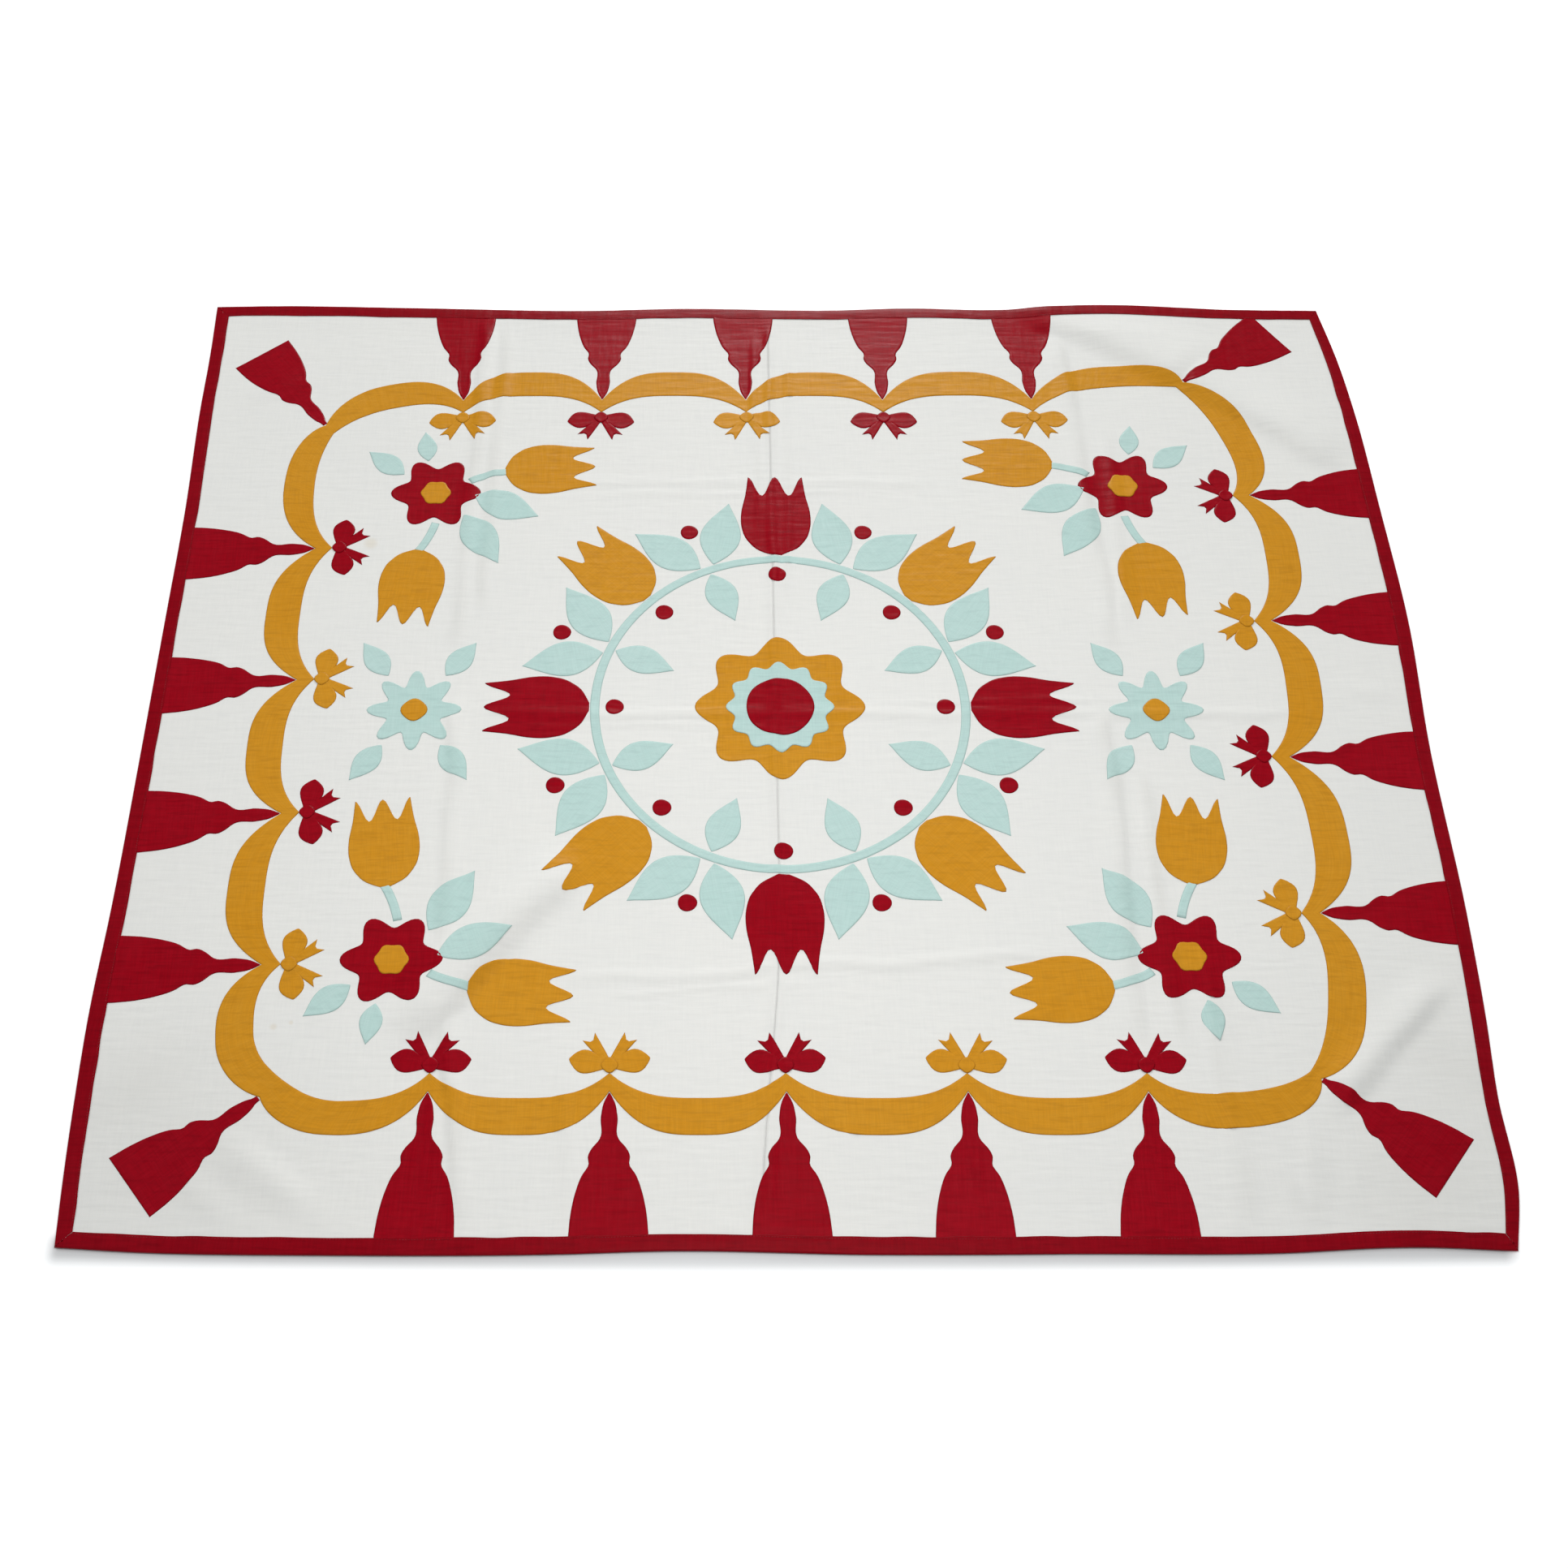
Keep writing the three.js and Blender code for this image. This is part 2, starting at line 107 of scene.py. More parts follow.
# Creases and soft folds: a line, its height, its half width, how sharp its crown is, how far it wanders, how
# much steeper it is on the right hand side of its run than on the left (below 0: the other way round), and
# how strong the painted shade along it is. The last two have no height and only paint shade on the front
# corners
FOLDS = rows_of(
    "x0 y0 x1 y1 rise spread crown wander lean soil",
    (-15, 895, -15, -430, 2.6, 22, 5, 3, 0, 0.25),
    (-14, -370, -46, -895, 2.3, 22, 5, 3, 0, 0.2),
    (-42, 860, -36, 330, 1.8, 15, 3, 4, 0, 0.4),
    (24, 840, 6, 200, 1.8, 14, 3, 4, 0, 0.55),
    (-40, -540, -66, -890, 1.5, 14, 3, 4, 0, 0.5),
    (84, -640, 88, -890, 1.3, 16, 3, 4, 0, 0.3),
    (-530, 895, -540, 100, 3.4, 28, 3, 6, 0.25, 0.8),
    (-488, 890, -506, 180, 2.8, 24, 3, 6, -0.25, 0.7),
    (-532, 60, -524, -460, 3.6, 28, 3, 7, 0.2, 0.6),
    (-520, -430, -472, -890, 3.6, 28, 3, 6, 0.2, 0.6),
    (-338, -560, -328, -890, 2.2, 24, 3, 6, 0.2, 0.5),
    (512, 850, 548, 100, 3.8, 28, 3, 6, -0.25, 0.8),
    (576, 640, 574, 150, 2.8, 22, 3, 6, 0.2, 0.6),
    (516, 40, 508, -600, 4.0, 28, 3, 6, -0.2, 0.9),
    (561, -80, 572, -600, 3.0, 22, 3, 6, 0.2, 0.8),
    (624, -440, 622, -890, 3.6, 26, 3, 6, 0.3, 0.8),
    (672, -730, 718, -880, 2.6, 26, 3, 5, 0.25, 0.4),
    (728, -680, 720, -890, 3.4, 32, 3, 6, 0.3, 0.5),
    (782, -720, 788, -890, 1.8, 20, 3, 5, 0, 0.3),
    (-400, 480, 290, 480, 1.0, 20, 3, 7, 0, 0.1),
    (-340, 452, 180, 458, 0.7, 13, 3, 6, 0, 0.1),
    (-520, -4, 860, -4, 1.6, 20, 3, 6, 0, 0.25),
    (-470, -30, 40, -26, 0.8, 12, 3, 6, 0, 0.1),
    (120, 22, 640, 18, 0.9, 12, 3, 6, 0, 0.1),
    (-360, -478, 420, -436, 1.4, 20, 3, 7, 0, 0.3),
    (-300, -505, 60, -484, 0.8, 12, 3, 5, 0, 0.15),
    (-318, -249, -578, -592, 12.0, 60, 2, 12, -0.3, 0.45),
    (432, 942, 778, 695, 14.0, 96, 2, 9, 0.38, 0.2),
    (690, 765, 1010, 508, 9.5, 78, 2, 10, 0.4, 0.1),
    (985, -462, 765, -702, 8.0, 40, 2, 7, -0.45, 0.5),
    (-840, -700, -650, -870, 4.2, 40, 2, 8, -0.3, 0),
    (-900, -745, -770, -880, 2.6, 26, 3, 6, 0, 0.1),
    (-140, -835, -50, -885, 2.6, 24, 3, 5, 0, 0.1),
    (-985, 120, -860, 60, 2.6, 34, 3, 6, 0, 0),
    (890, 60, 1010, 20, 2.6, 32, 3, 6, 0, 0),
    (330, -840, 390, -890, 2.0, 22, 3, 5, 0, 0.1),
    (-960, 640, -830, 760, 2.6, 36, 2, 6, 0.3, 0),
    (-684, -790, -642, -890, 2.2, 24, 3, 5, -0.2, 0.2),
    (-1030, -560, -760, -905, 0.0, 300, 2, 20, 0, 0.75),
    (1045, -530, 800, -905, 0.0, 300, 2, 20, 0, 0.8),
)

# Joints of the swag border, anticlockwise from the front left corner: the way the tassel points in degrees,
# whether it hangs free in a corner, how far the swags' inner and outer edges stand out there, and how
# suddenly they swell
JOINTS = rows_of(
    "x y lean free inner outer power",
    (-760, -656, -141, True, -30, 16, 1.8),
    (-530, -641, -91, False, -13, 16, 3),
    (-268, -641, -89, False, -13, 16, 3),
    (-12, -641, -89, False, -13, 16, 3),
    (251, -641, -91, False, -13, 16, 3),
    (512, -641, -92, False, -13, 16, 3),
    (752, -628, -39, True, -3, 16, 2.4),
    (790, -366, 0, False, -13, 16, 3),
    (786, -85, -2, False, -13, 16, 3),
    (796, 182, 1, False, -13, 16, 3),
    (797, 450, 1, False, -13, 16, 3),
    (716, 698, 35, True, 0, 16, 2.2),
    (455, 655, 91, False, -13, 16, 3),
    (188, 653, 90, False, -13, 16, 3),
    (-56, 653, 91, False, -13, 16, 3),
    (-314, 653, 89, False, -13, 16, 3),
    (-561, 652, 92, False, -13, 16, 3),
    (-792, 597, 128, True, -9, 16, 2),
    (-777, 335, 183, False, -13, 16, 3),
    (-780, 64, 183, False, -13, 16, 3),
    (-778, -189, 184, False, -13, 16, 3),
    (-778, -453, 182, False, -13, 16, 3),
)

# Half widths along a tassel, from the tip of its cord to its hem, and along a tulip, from its foot to its
# tips
TASSEL_PROFILE = rows_of(
    "along half",
    (0.00, 0.8), (0.07, 8), (0.17, 12), (0.34, 15), (0.39, 24), (0.45, 30),
    (0.51, 29), (0.58, 38), (0.70, 47), (0.84, 53), (1.00, 56),
)
TULIP_PROFILE = rows_of(
    "along half",
    (0.00, 8), (0.06, 27), (0.20, 48), (0.40, 59), (0.60, 59), (0.80, 52), (1.00, 47),
)


def ease(t: Array) -> Array:
    """Smooth step 3t^2 - 2t^3 of a value from 0 to 1."""
    return t * t * (3.0 - 2.0 * t)


def smooth_column(table: Array, column: str, at: Array, key: str = "at") -> Array:
    """Reads one column of a table along a smooth curve through its rows.

    Between two rows the curve is a cubic whose slope at both of them is numpy's gradient of the column there.

    Args:
        table: rows in the order of their key.
        column: name of the column to read.
        at: places to read it at, held to the table's range.
        key: name of the column that says where each row is.

    Returns:
        The column's value at each place.
    """
    stops, values = table[key], table[column]
    slopes = np.gradient(values, stops)
    held = np.clip(at, stops[0], stops[-1])
    k = np.clip(np.searchsorted(stops, held) - 1, 0, len(stops) - 2)
    span = stops[k + 1] - stops[k]
    t = (held - stops[k]) / span
    rise = ease(t)
    leave = t * (1.0 - t) ** 2 * span * slopes[k]
    arrive = -(t**2) * (1.0 - t) * span * slopes[k + 1]
    return values[k] * (1.0 - rise) + values[k + 1] * rise + leave + arrive


def graded(
    start: float, end: float, step: float, crowds: Sequence[float], reach: float, gain: float
) -> Array:
    """Stations from start to end that crowd together round some places.

    They are equal steps of the running sum of 1 + gain * exp(-(distance / reach)^2) over the places.

    Args:
        start: first station.
        end: last station.
        step: distance between stations far from any crowd.
        crowds: places round which they crowd.
        reach: how far a crowd reaches.
        gain: how much denser they are at a crowd's middle.

    Returns:
        The stations, in order.
    """
    fine = np.linspace(start, end, 4000)
    density = np.ones_like(fine)
    for place in crowds:
        density += gain * np.exp(-(((fine - place) / reach) ** 2))
    total = np.concatenate([[0.0], np.cumsum((density[1:] + density[:-1]) / 2 * np.diff(fine))])
    count = max(2, int(round(total[-1] / step)) + 1)
    return np.interp(np.linspace(0, total[-1], count), total, fine)


@dataclass(frozen=True)
class Noise:
    """Smooth noise from -1 to 1, the same on every run.

    Random values stand at the corners of a lattice of cells, and between them the value eases both ways.
    """

    seed: int
    cell_x: float
    cell_y: float
    size: int = 64

    def __call__(self, x: Array, y: Array) -> Array:
        """Value of the noise at each point."""
        lattice = np.random.default_rng(self.seed).uniform(-1.0, 1.0, (self.size, self.size))
        u, v = np.asarray(x) / self.cell_x, np.asarray(y) / self.cell_y
        i, j = np.floor(u).astype(int), np.floor(v).astype(int)
        s, t = ease(u - i), ease(v - j)
        a, b = i % self.size, j % self.size
        c, d = (i + 1) % self.size, (j + 1) % self.size
        low = lattice[a, b] * (1 - s) + lattice[c, b] * s
        high = lattice[a, d] * (1 - s) + lattice[c, d] * s
        return low * (1 - t) + high * t


@dataclass(frozen=True)
class Lie:
    """How the quilted cloth lies: its uneven outline, its folds and its fine puckers, all in millimetres."""

    middle: tuple[float, float]
    half_width: float = 1040.0
    half_length: float = 900.0
    skew: float = -0.0205
    sheet: float = 2.4
    cloth: float = 0.7
    gap: float = 0.3
    binding_width: float = 25.0
    bow_reach: float = 160.0
    lift_flat: float = 28.0
    lift_reach: float = 70.0
    end_fade: float = 90.0
    swell: float = 0.55
    ripple: float = 0.09
    ripple_pitch: float = 14.0
    wander_cell: float = 85.0
    uneven_cell: float = 130.0
    patchy_cell: float = 60.0
    painted_shade_narrow: float = 2.6
    bound_flat: float = 0.55

    def pull(self, distance: Array) -> Array:
        """Share of a side's inset that reaches a point this far in from the side."""
        return np.clip(1.0 - distance / self.bow_reach, 0.0, None)

    def place(self, x: Array, y: Array) -> tuple[Array, Array]:
        """Moves points of the plain rectangle to their places in the uneven outline.

        Args:
            x: places along the plain rectangle.
            y: places across it.

        Returns:
            The same points in the quilt's outline.
        """
        side = (y + self.half_length) / (2 * self.half_length)
        end = (x + self.half_width) / (2 * self.half_width)
        left = smooth_column(SIDE_INSETS, "left", side) * self.pull(self.half_width + x)
        right = smooth_column(SIDE_INSETS, "right", side) * self.pull(self.half_width - x)
        front = smooth_column(END_INSETS, "front", end) * self.pull(self.half_length + y)
        back = smooth_column(END_INSETS, "back", end) * self.pull(self.half_length - y)
        return x + left - right, y + front - back

    def plain(self, x: Array, y: Array) -> tuple[Array, Array]:
        """Finds the points of the plain rectangle that place() moves to the given ones, step by step."""
        u, v = x, y
        for _ in range(5):
            px, py = self.place(u, v)
            u, v = u + x - px, v + y - py
        return u, v

    def edge_share(self, u: Array, v: Array) -> Array:
        """How much a point of the plain rectangle is lifted by the binding under it, from 0 to 1."""
        inward = np.minimum(self.half_width - np.abs(u), self.half_length - np.abs(v))
        return np.clip((self.lift_reach - inward) / (self.lift_reach - self.lift_flat), 0.0, 1.0)

    def folds(self, x: Array, y: Array) -> tuple[Array, Array]:
        """Height of the highest fold at each point, and how strong the painted shade of the strongest crease
        is there.

        A fold is a ridge cos^crown of the distance from its line, steeper on one side where it leans. Its
        line wanders a little, and it swells and sinks along its length and fades out at both ends. Its
        painted shade is a narrower band exp(-(painted_shade_narrow * distance / spread)^2) along the same
        line.
        """
        highest = np.zeros_like(x)
        painted_shade = np.zeros_like(x)
        for k, row in enumerate(FOLDS):
            dx, dy = row["x1"] - row["x0"], row["y1"] - row["y0"]
            length = math.hypot(dx, dy)
            along = ((x - row["x0"]) * dx + (y - row["y0"]) * dy) / length
            across = ((x - row["x0"]) * dy - (y - row["y0"]) * dx) / length
            near = (np.abs(across) < 1.5 * row["spread"] + row["wander"]) & (along > 0) & (along < length)
            along, across = along[near], across[near]
            aside = Noise(40 + k, self.wander_cell, self.wander_cell)(along, np.full_like(along, 7.3 * k))
            across = across + row["wander"] * aside
            spread = row["spread"] * np.where(across > 0, 1 - row["lean"], 1 + row["lean"])
            share = np.clip(np.abs(across) / spread, 0, 1)
            to_end = ease(np.clip(np.minimum(along, length - along) / self.end_fade, 0, 1))
            swell = Noise(90 + k, self.uneven_cell, self.uneven_cell)(along, np.full_like(along, 3.1 * k))
            uneven = 1.0 + 0.3 * swell
            height = row["rise"] * uneven * np.cos(math.pi / 2 * share) ** row["crown"] * to_end
            highest[near] = np.maximum(highest[near], height)
            # Painted shade: a darker band along each crease, and over the front corners in the last two rows
            spots = Noise(140 + k, self.patchy_cell, self.patchy_cell)(along, np.full_like(along, 5.7 * k))
            band = np.exp(-((self.painted_shade_narrow * across / row["spread"]) ** 2))
            mark = row["soil"] * (0.7 + 0.5 * spots) * band * to_end
            painted_shade[near] = np.maximum(painted_shade[near], mark)
        return highest, painted_shade

    def rest(self, x: Array, y: Array, edge: Array) -> Array:
        """Height at which the cloth rests: its folds, flatter under the binding, on a broad slow swell."""
        broad = Noise(11, 310, 240)(x, y) + 0.5 * Noise(12, 120, 150)(x + 40, y)
        return self.folds(x, y)[0] * (1.0 - self.bound_flat * edge) + self.swell * (1.5 + broad) / 2

    def puckers(self, x: Array, y: Array) -> Array:
        """Fine puckers of the quilting: waves across the length whose phase and strength wander."""
        phase = y / self.ripple_pitch + 1.3 * Noise(21, 210, 75)(x, y) + 0.35 * Noise(22, 60, 40)(x, y)
        strength = 0.75 + 0.6 * Noise(23, 150, 110)(x, y)
        cross = np.sin(2 * math.pi * (x / 19.0 + 1.1 * Noise(24, 70, 190)(x, y)))
        return self.ripple * strength * (np.sin(2 * math.pi * phase) + 0.7 * cross)

    def under(self, x: Array, y: Array) -> Array:
        """Height of the sheet's underside at points of the outline."""
        edge = self.edge_share(*self.plain(x, y))
        return self.rest(x, y, edge) + (self.cloth + self.gap) * edge

    def top(self, x: Array, y: Array) -> Array:
        """Height of the sheet's upper face at points of the outline."""
        return self.under(x, y) + self.sheet + self.puckers(x, y)

    def world(self, x: Array, y: Array, z: Array) -> Array:
        """Points of the plan in metres in the model's frame, askew as the whole quilt is."""
        moved = np.stack([x + self.skew * y + self.middle[0], y + self.middle[1], z], axis=-1)
        return moved.reshape(-1, 3) * MM


@dataclass
class Grid:
    """A patch or strip as a grid of plan points, with what its surface needs at each of them.

    Attributes:
        x: places along X, rows by columns.
        y: places along Y.
        edge: distance to the nearest cut edge, in millimetres.
        grain: distances along and across the strip, which carry its weave and puckers.
        ring: whether the last row joins the first.
        pole: whether the last column is a single point, the middle of a ring.
    """

    x: Array
    y: Array
    edge: Array
    grain: Array
    ring: bool = False
    pole: bool = False


@dataclass
class Body:
    """Arrays of one mesh: points, faces, and at each point its grain, distance from the edge, and painted
    shade with soil.
    """

    points: Array
    faces: list[Array]
    grain: Array
    edge: Array
    soil: Array


def compact(body: Body) -> Body:
    """Drops the points that no face uses."""
    used = np.unique(np.concatenate([face.ravel() for face in body.faces]))
    number = np.zeros(len(body.points), dtype=int)
    number[used] = np.arange(len(used))
    faces = [number[face] for face in body.faces]
    return Body(body.points[used], faces, body.grain[used], body.edge[used], body.soil[used])


def join(bodies: Sequence[Body]) -> Body:
    """Joins bodies into one, with each body's faces counted on from the last one's points."""
    faces: list[Array] = []
    start = 0
    for body in bodies:
        faces += [face + start for face in body.faces]
        start += len(body.points)
    return Body(
        np.concatenate([body.points for body in bodies]),
        faces,
        np.concatenate([body.grain for body in bodies]),
        np.concatenate([body.edge for body in bodies]),
        np.concatenate([body.soil for body in bodies]),
    )


def grid_quads(rows: int, columns: int, ring: bool) -> Array:
    """Quads of a grid of points, anticlockwise where rows run along +X and columns along +Y.

    Args:
        rows: rows of points.
        columns: points in a row.
        ring: whether the last row joins the first.

    Returns:
        Four point numbers for each quad.
    """
    j = np.arange(rows if ring else rows - 1)[:, None]
    i = np.arange(columns - 1)[None, :]
    near, far = j * columns, ((j + 1) % rows) * columns
    return np.stack([near + i, far + i, far + i + 1, near + i + 1], axis=-1).reshape(-1, 4)


def tube_quads(numbers: Array) -> Array:
    """Quads between neighbouring rings of point numbers, with the rings on the last axis."""
    after = np.roll(numbers, -1, axis=-1)
    corners = [numbers[..., :-1, :], numbers[..., 1:, :], after[..., 1:, :], after[..., :-1, :]]
    return np.stack(corners, axis=-1).reshape(-1, 4)


def wall_quads(loop: Array, count: int) -> Array:
    """Quads between a rim loop of an upper face and the same loop of its under face, count points later."""
    after = np.roll(loop, -1)
    return np.stack([loop + count, after + count, after, loop], axis=-1)


def heading(angle: float) -> Array:
    """Unit vector of a direction in radians."""
    return np.array([math.cos(angle), math.sin(angle)])


def rim_loop(rows: int, columns: int) -> Array:
    """Numbers of the points round the rim of a grid, in the same turning sense as its quads."""
    numbers = np.arange(rows * columns).reshape(rows, columns)
    return np.concatenate([numbers[:-1, 0], numbers[-1, :-1], numbers[:0:-1, -1], numbers[0, :0:-1]])


def make_object(name: str, body: Body, material: bpy.types.Material) -> bpy.types.Object:
    """Puts a body into a mesh object at the origin.

    Args:
        name: name of the piece.
        body: its arrays, in metres.
        material: its finish.

    Returns:
        The linked object.
    """
    mesh = bpy.data.meshes.new(name)
    loops = np.concatenate([face.ravel() for face in body.faces])
    totals = np.concatenate([np.full(len(face), face.shape[1]) for face in body.faces])
    starts = np.concatenate([[0], np.cumsum(totals)[:-1]])
    mesh.vertices.add(len(body.points))
    mesh.vertices.foreach_set("co", body.points.astype(np.float32).ravel())
    mesh.loops.add(len(loops))
    mesh.loops.foreach_set("vertex_index", loops.astype(np.int32))
    mesh.polygons.add(len(totals))
    mesh.polygons.foreach_set("loop_start", starts.astype(np.int32))
    mesh.update(calc_edges=True)
    if mesh.validate():
        raise ValueError(f"{name} has a face that isn't sound")
    grain = mesh.uv_layers.new(name="grain")
    grain.uv.foreach_set("vector", (body.grain[loops] * MM).astype(np.float32).ravel())
    for label, values in (("edge", body.edge), ("soil", body.soil)):
        layer = mesh.attributes.new(label, "FLOAT", "POINT")
        layer.data.foreach_set("value", values.astype(np.float32))
    mesh.polygons.foreach_set("use_smooth", np.ones(len(totals), dtype=bool))
    mesh.materials.append(material)
    piece = bpy.data.objects.new(name, mesh)
    bpy.context.scene.collection.objects.link(piece)
    return piece


class Wire:
    """One output of a node. Arithmetic on it adds Math nodes and gives another wire."""

    def __init__(self, kit: "Kit", socket: bpy.types.NodeSocket | None) -> None:
        self.kit = kit
        self.socket = socket

    def _math(self, operation: str, *values: Any) -> "Wire":
        """Adds one Math node on the given values."""
        return self.kit.node("ShaderNodeMath", {"operation": operation}, dict(enumerate(values)))

    def __add__(self, other: Any) -> "Wire":
        """Sum."""
        return self._math("ADD", self, other)

    __radd__ = __add__

    def __sub__(self, other: Any) -> "Wire":
        """Difference."""
        return self._math("SUBTRACT", self, other)

    def __rsub__(self, other: Any) -> "Wire":
        """Difference from a plain number."""
        return self._math("SUBTRACT", other, self)

    def __mul__(self, other: Any) -> "Wire":
        """Product."""
        return self._math("MULTIPLY", self, other)

    def step(self, low: float, high: float) -> "Wire":
        """Eases from 0 at low to 1 at high."""
        return self.kit.node(
            "ShaderNodeMapRange",
            {"interpolation_type": "SMOOTHSTEP"},
            {"Value": self, "From Min": low, "From Max": high},
        )


class Kit:
    """Adds nodes to one material's tree."""

    def __init__(self, name: str) -> None:
        """Makes an empty node material."""
        self.material = bpy.data.materials.new(name)
        self.material.use_nodes = True
        self.tree = self.material.node_tree
        self.tree.nodes.clear()

    def node(
        self,
        kind: str,
        settings: dict[str, Any] | None = None,
        values: dict[Any, Any] | None = None,
        out: str | int = 0,
    ) -> Wire:
        """Adds one node, sets it up, then fills or links its sockets.

        Args:
            kind: the node's type.
            settings: its properties, set first.
            values: numbers, colours or wires for its inputs, by name or number.
            out: the output that is returned.

        Returns:
            A wire from that output.
        """
        made = self.tree.nodes.new(kind)
        for key, value in (settings or {}).items():
            setattr(made, key, value)
        for key, value in (values or {}).items():
            socket = made.inputs[key]
            if isinstance(value, Wire):
                self.tree.links.new(value.socket, socket)
            else:
                socket.default_value = value
        return Wire(self, made.outputs[out] if len(made.outputs) else None)

    def mix(self, share: Any, first: Any, second: Any, blend: str = "MIX") -> Wire:
        """Mixes two colours by a share from 0 to 1."""
        settings = {"data_type": "RGBA", "blend_type": blend}
        colours = [(*c, 1.0) if isinstance(c, tuple) and len(c) == 3 else c for c in (first, second)]
        return self.node("ShaderNodeMix", settings, {0: share, 6: colours[0], 7: colours[1]}, out=2)

    def stretched(self, vector: Wire, scale: tuple[float, float, float]) -> Wire:
        """Scales a vector, so that a pattern on it runs finer or longer along each axis."""
        return self.node("ShaderNodeVectorMath", {"operation": "MULTIPLY"}, {0: vector, 1: scale})

    def noise(self, vector: Wire, scale: float, detail: float = 2.0) -> Wire:
        """Noise from 0 to 1 on a vector."""
        return self.node("ShaderNodeTexNoise", {}, {"Vector": vector, "Scale": scale, "Detail": detail})

    def finish(self, values: dict[str, Any]) -> bpy.types.Material:
        """Ends the tree with one surface shader on the given inputs and gives the material."""
        shader = self.node("ShaderNodeBsdfPrincipled", {}, values)
        self.node("ShaderNodeOutputMaterial", {}, {"Surface": shader})
        return self.material


@dataclass(frozen=True)
class ClothFinish:
    """A plain cotton with its weave, faded and slubbed threads, puckers, and painted shade with a little dirt
    at cut edges.

    Attributes:
        name: the material's name.
        colour: its usual colour, linear.
        faded: the colour of its paler and more worn places.
        shade: the darker tone of its single threads, and the colour of the painted shade at its cut edges and
            between its puckers.
        mottle: how far its colour moves towards faded.
        slub: how strongly single threads show.
        rough: its roughness.
        pucker: height of the puckers that are too fine for the mesh, in metres.
        stains: place and size of each faint stain, in millimetres.
        gloss: how strongly it reflects.
        line: how dark the painted shade in the fine creases between its puckers is.
        stain: the colour of a stain.
        stain_z: height at which the stains lie, in metres.
        shade_and_grime: the colour that painted crease and corner shade, and the binding's wear, multiply it
            by.
    """

    name: str
    colour: tuple[float, float, float]
    faded: tuple[float, float, float]
    shade: tuple[float, float, float]
    mottle: float
    slub: float
    rough: float
    pucker: float
    stains: tuple[tuple[float, float, float], ...] = ()
    gloss: float = 0.15
    line: float = 0.20
    stain: tuple[float, float, float] = (0.66, 0.56, 0.40)
    stain_z: float = 0.004
    shade_and_grime: tuple[float, float, float] = (0.80, 0.79, 0.77)

    def build(self) -> bpy.types.Material:
        """Makes the node material."""
        kit = Kit(self.name)
        place = kit.node("ShaderNodeTexCoord", {}, {}, out="Object")
        grain = kit.node("ShaderNodeUVMap", {"uv_map": "grain"})
        edge = kit.node("ShaderNodeAttribute", {"attribute_name": "edge"}, {}, out="Fac")
        soil = kit.node("ShaderNodeAttribute", {"attribute_name": "soil"}, {}, out="Fac")
        warp = kit.noise(kit.stretched(grain, (420.0, 26.0, 1.0)), 1.0, 3.0)
        weft = kit.noise(kit.stretched(grain, (26.0, 420.0, 1.0)), 1.0, 3.0)
        streaks = kit.noise(kit.stretched(grain, (110.0, 9.0, 1.0)), 1.0, 3.0)
        bars = kit.noise(kit.stretched(grain, (9.0, 110.0, 1.0)), 1.0, 3.0)
        cloudy = kit.noise(place, 3.1, 4.0)
        threads = (warp + weft) * 0.5
        patchy = cloudy.step(0.34, 0.68) * 0.5 + (streaks + bars).step(0.8, 1.25) * 0.5
        colour = kit.mix(patchy * self.mottle, self.colour, self.faded)
        colour = kit.mix(threads.step(0.38, 0.62) * self.slub, colour, self.shade)
        for x, y, size in self.stains:
            ends = {0: place, 1: (x * MM, y * MM, self.stain_z)}
            spot = kit.node("ShaderNodeVectorMath", {"operation": "DISTANCE"}, ends, 1)
            ragged = spot + (cloudy - 0.5) * (size * MM)
            mark = 1.0 - ragged.step(size * MM * 0.3, size * MM)
            colour = kit.mix(mark * 0.32, colour, self.stain)
        # Painted shade, with a little dirt, along cut edges, the seam and the binding's lip
        rim = 1.0 - edge.step(0.0, 1.5)
        colour = kit.mix(rim * 0.72, colour, self.shade)
        # Painted shade along creases and on the front corners, and the binding's darker tone from use
        colour = kit.mix(soil * 0.36, colour, self.shade_and_grime, "MULTIPLY")
        ripples = kit.noise(kit.stretched(place, (16.0, 95.0, 1.0)), 1.0, 1.0)
        # Painted shade in the fine creases between puckers
        pucker_shade = 1.0 - kit.noise(kit.stretched(place, (24.0, 170.0, 1.0)), 1.0, 1.0).step(0.32, 0.46)
        colour = kit.mix(pucker_shade * self.line, colour, self.shade)
        gathers = kit.noise(kit.stretched(place, (95.0, 22.0, 1.0)), 1.0, 1.0)
        height = (ripples + gathers * 0.8) * self.pucker + threads * 0.00010
        bump = kit.node("ShaderNodeBump", {}, {"Strength": 0.9, "Distance": 1.0, "Height": height})
        rough = self.rough + (threads - 0.5) * 0.08
        return kit.finish(
            {"Base Color": colour, "Roughness": rough, "Normal": bump, "Specular IOR Level": self.gloss}
        )


@dataclass(frozen=True)
class ThreadFinish:
    """Red sewing thread, a little uneven in colour along its run."""

    name: str = "red_thread"
    colour: tuple[float, float, float] = (0.15, 0.006, 0.010)
    worn: tuple[float, float, float] = (0.26, 0.030, 0.036)
    rough: float = 0.8

    def build(self) -> bpy.types.Material:
        """Makes the node material."""
        kit = Kit(self.name)
        place = kit.node("ShaderNodeTexCoord", {}, {}, out="Object")
        colour = kit.mix(kit.noise(place, 60.0).step(0.35, 0.65), self.colour, self.worn)
        return kit.finish({"Base Color": colour, "Roughness": self.rough})


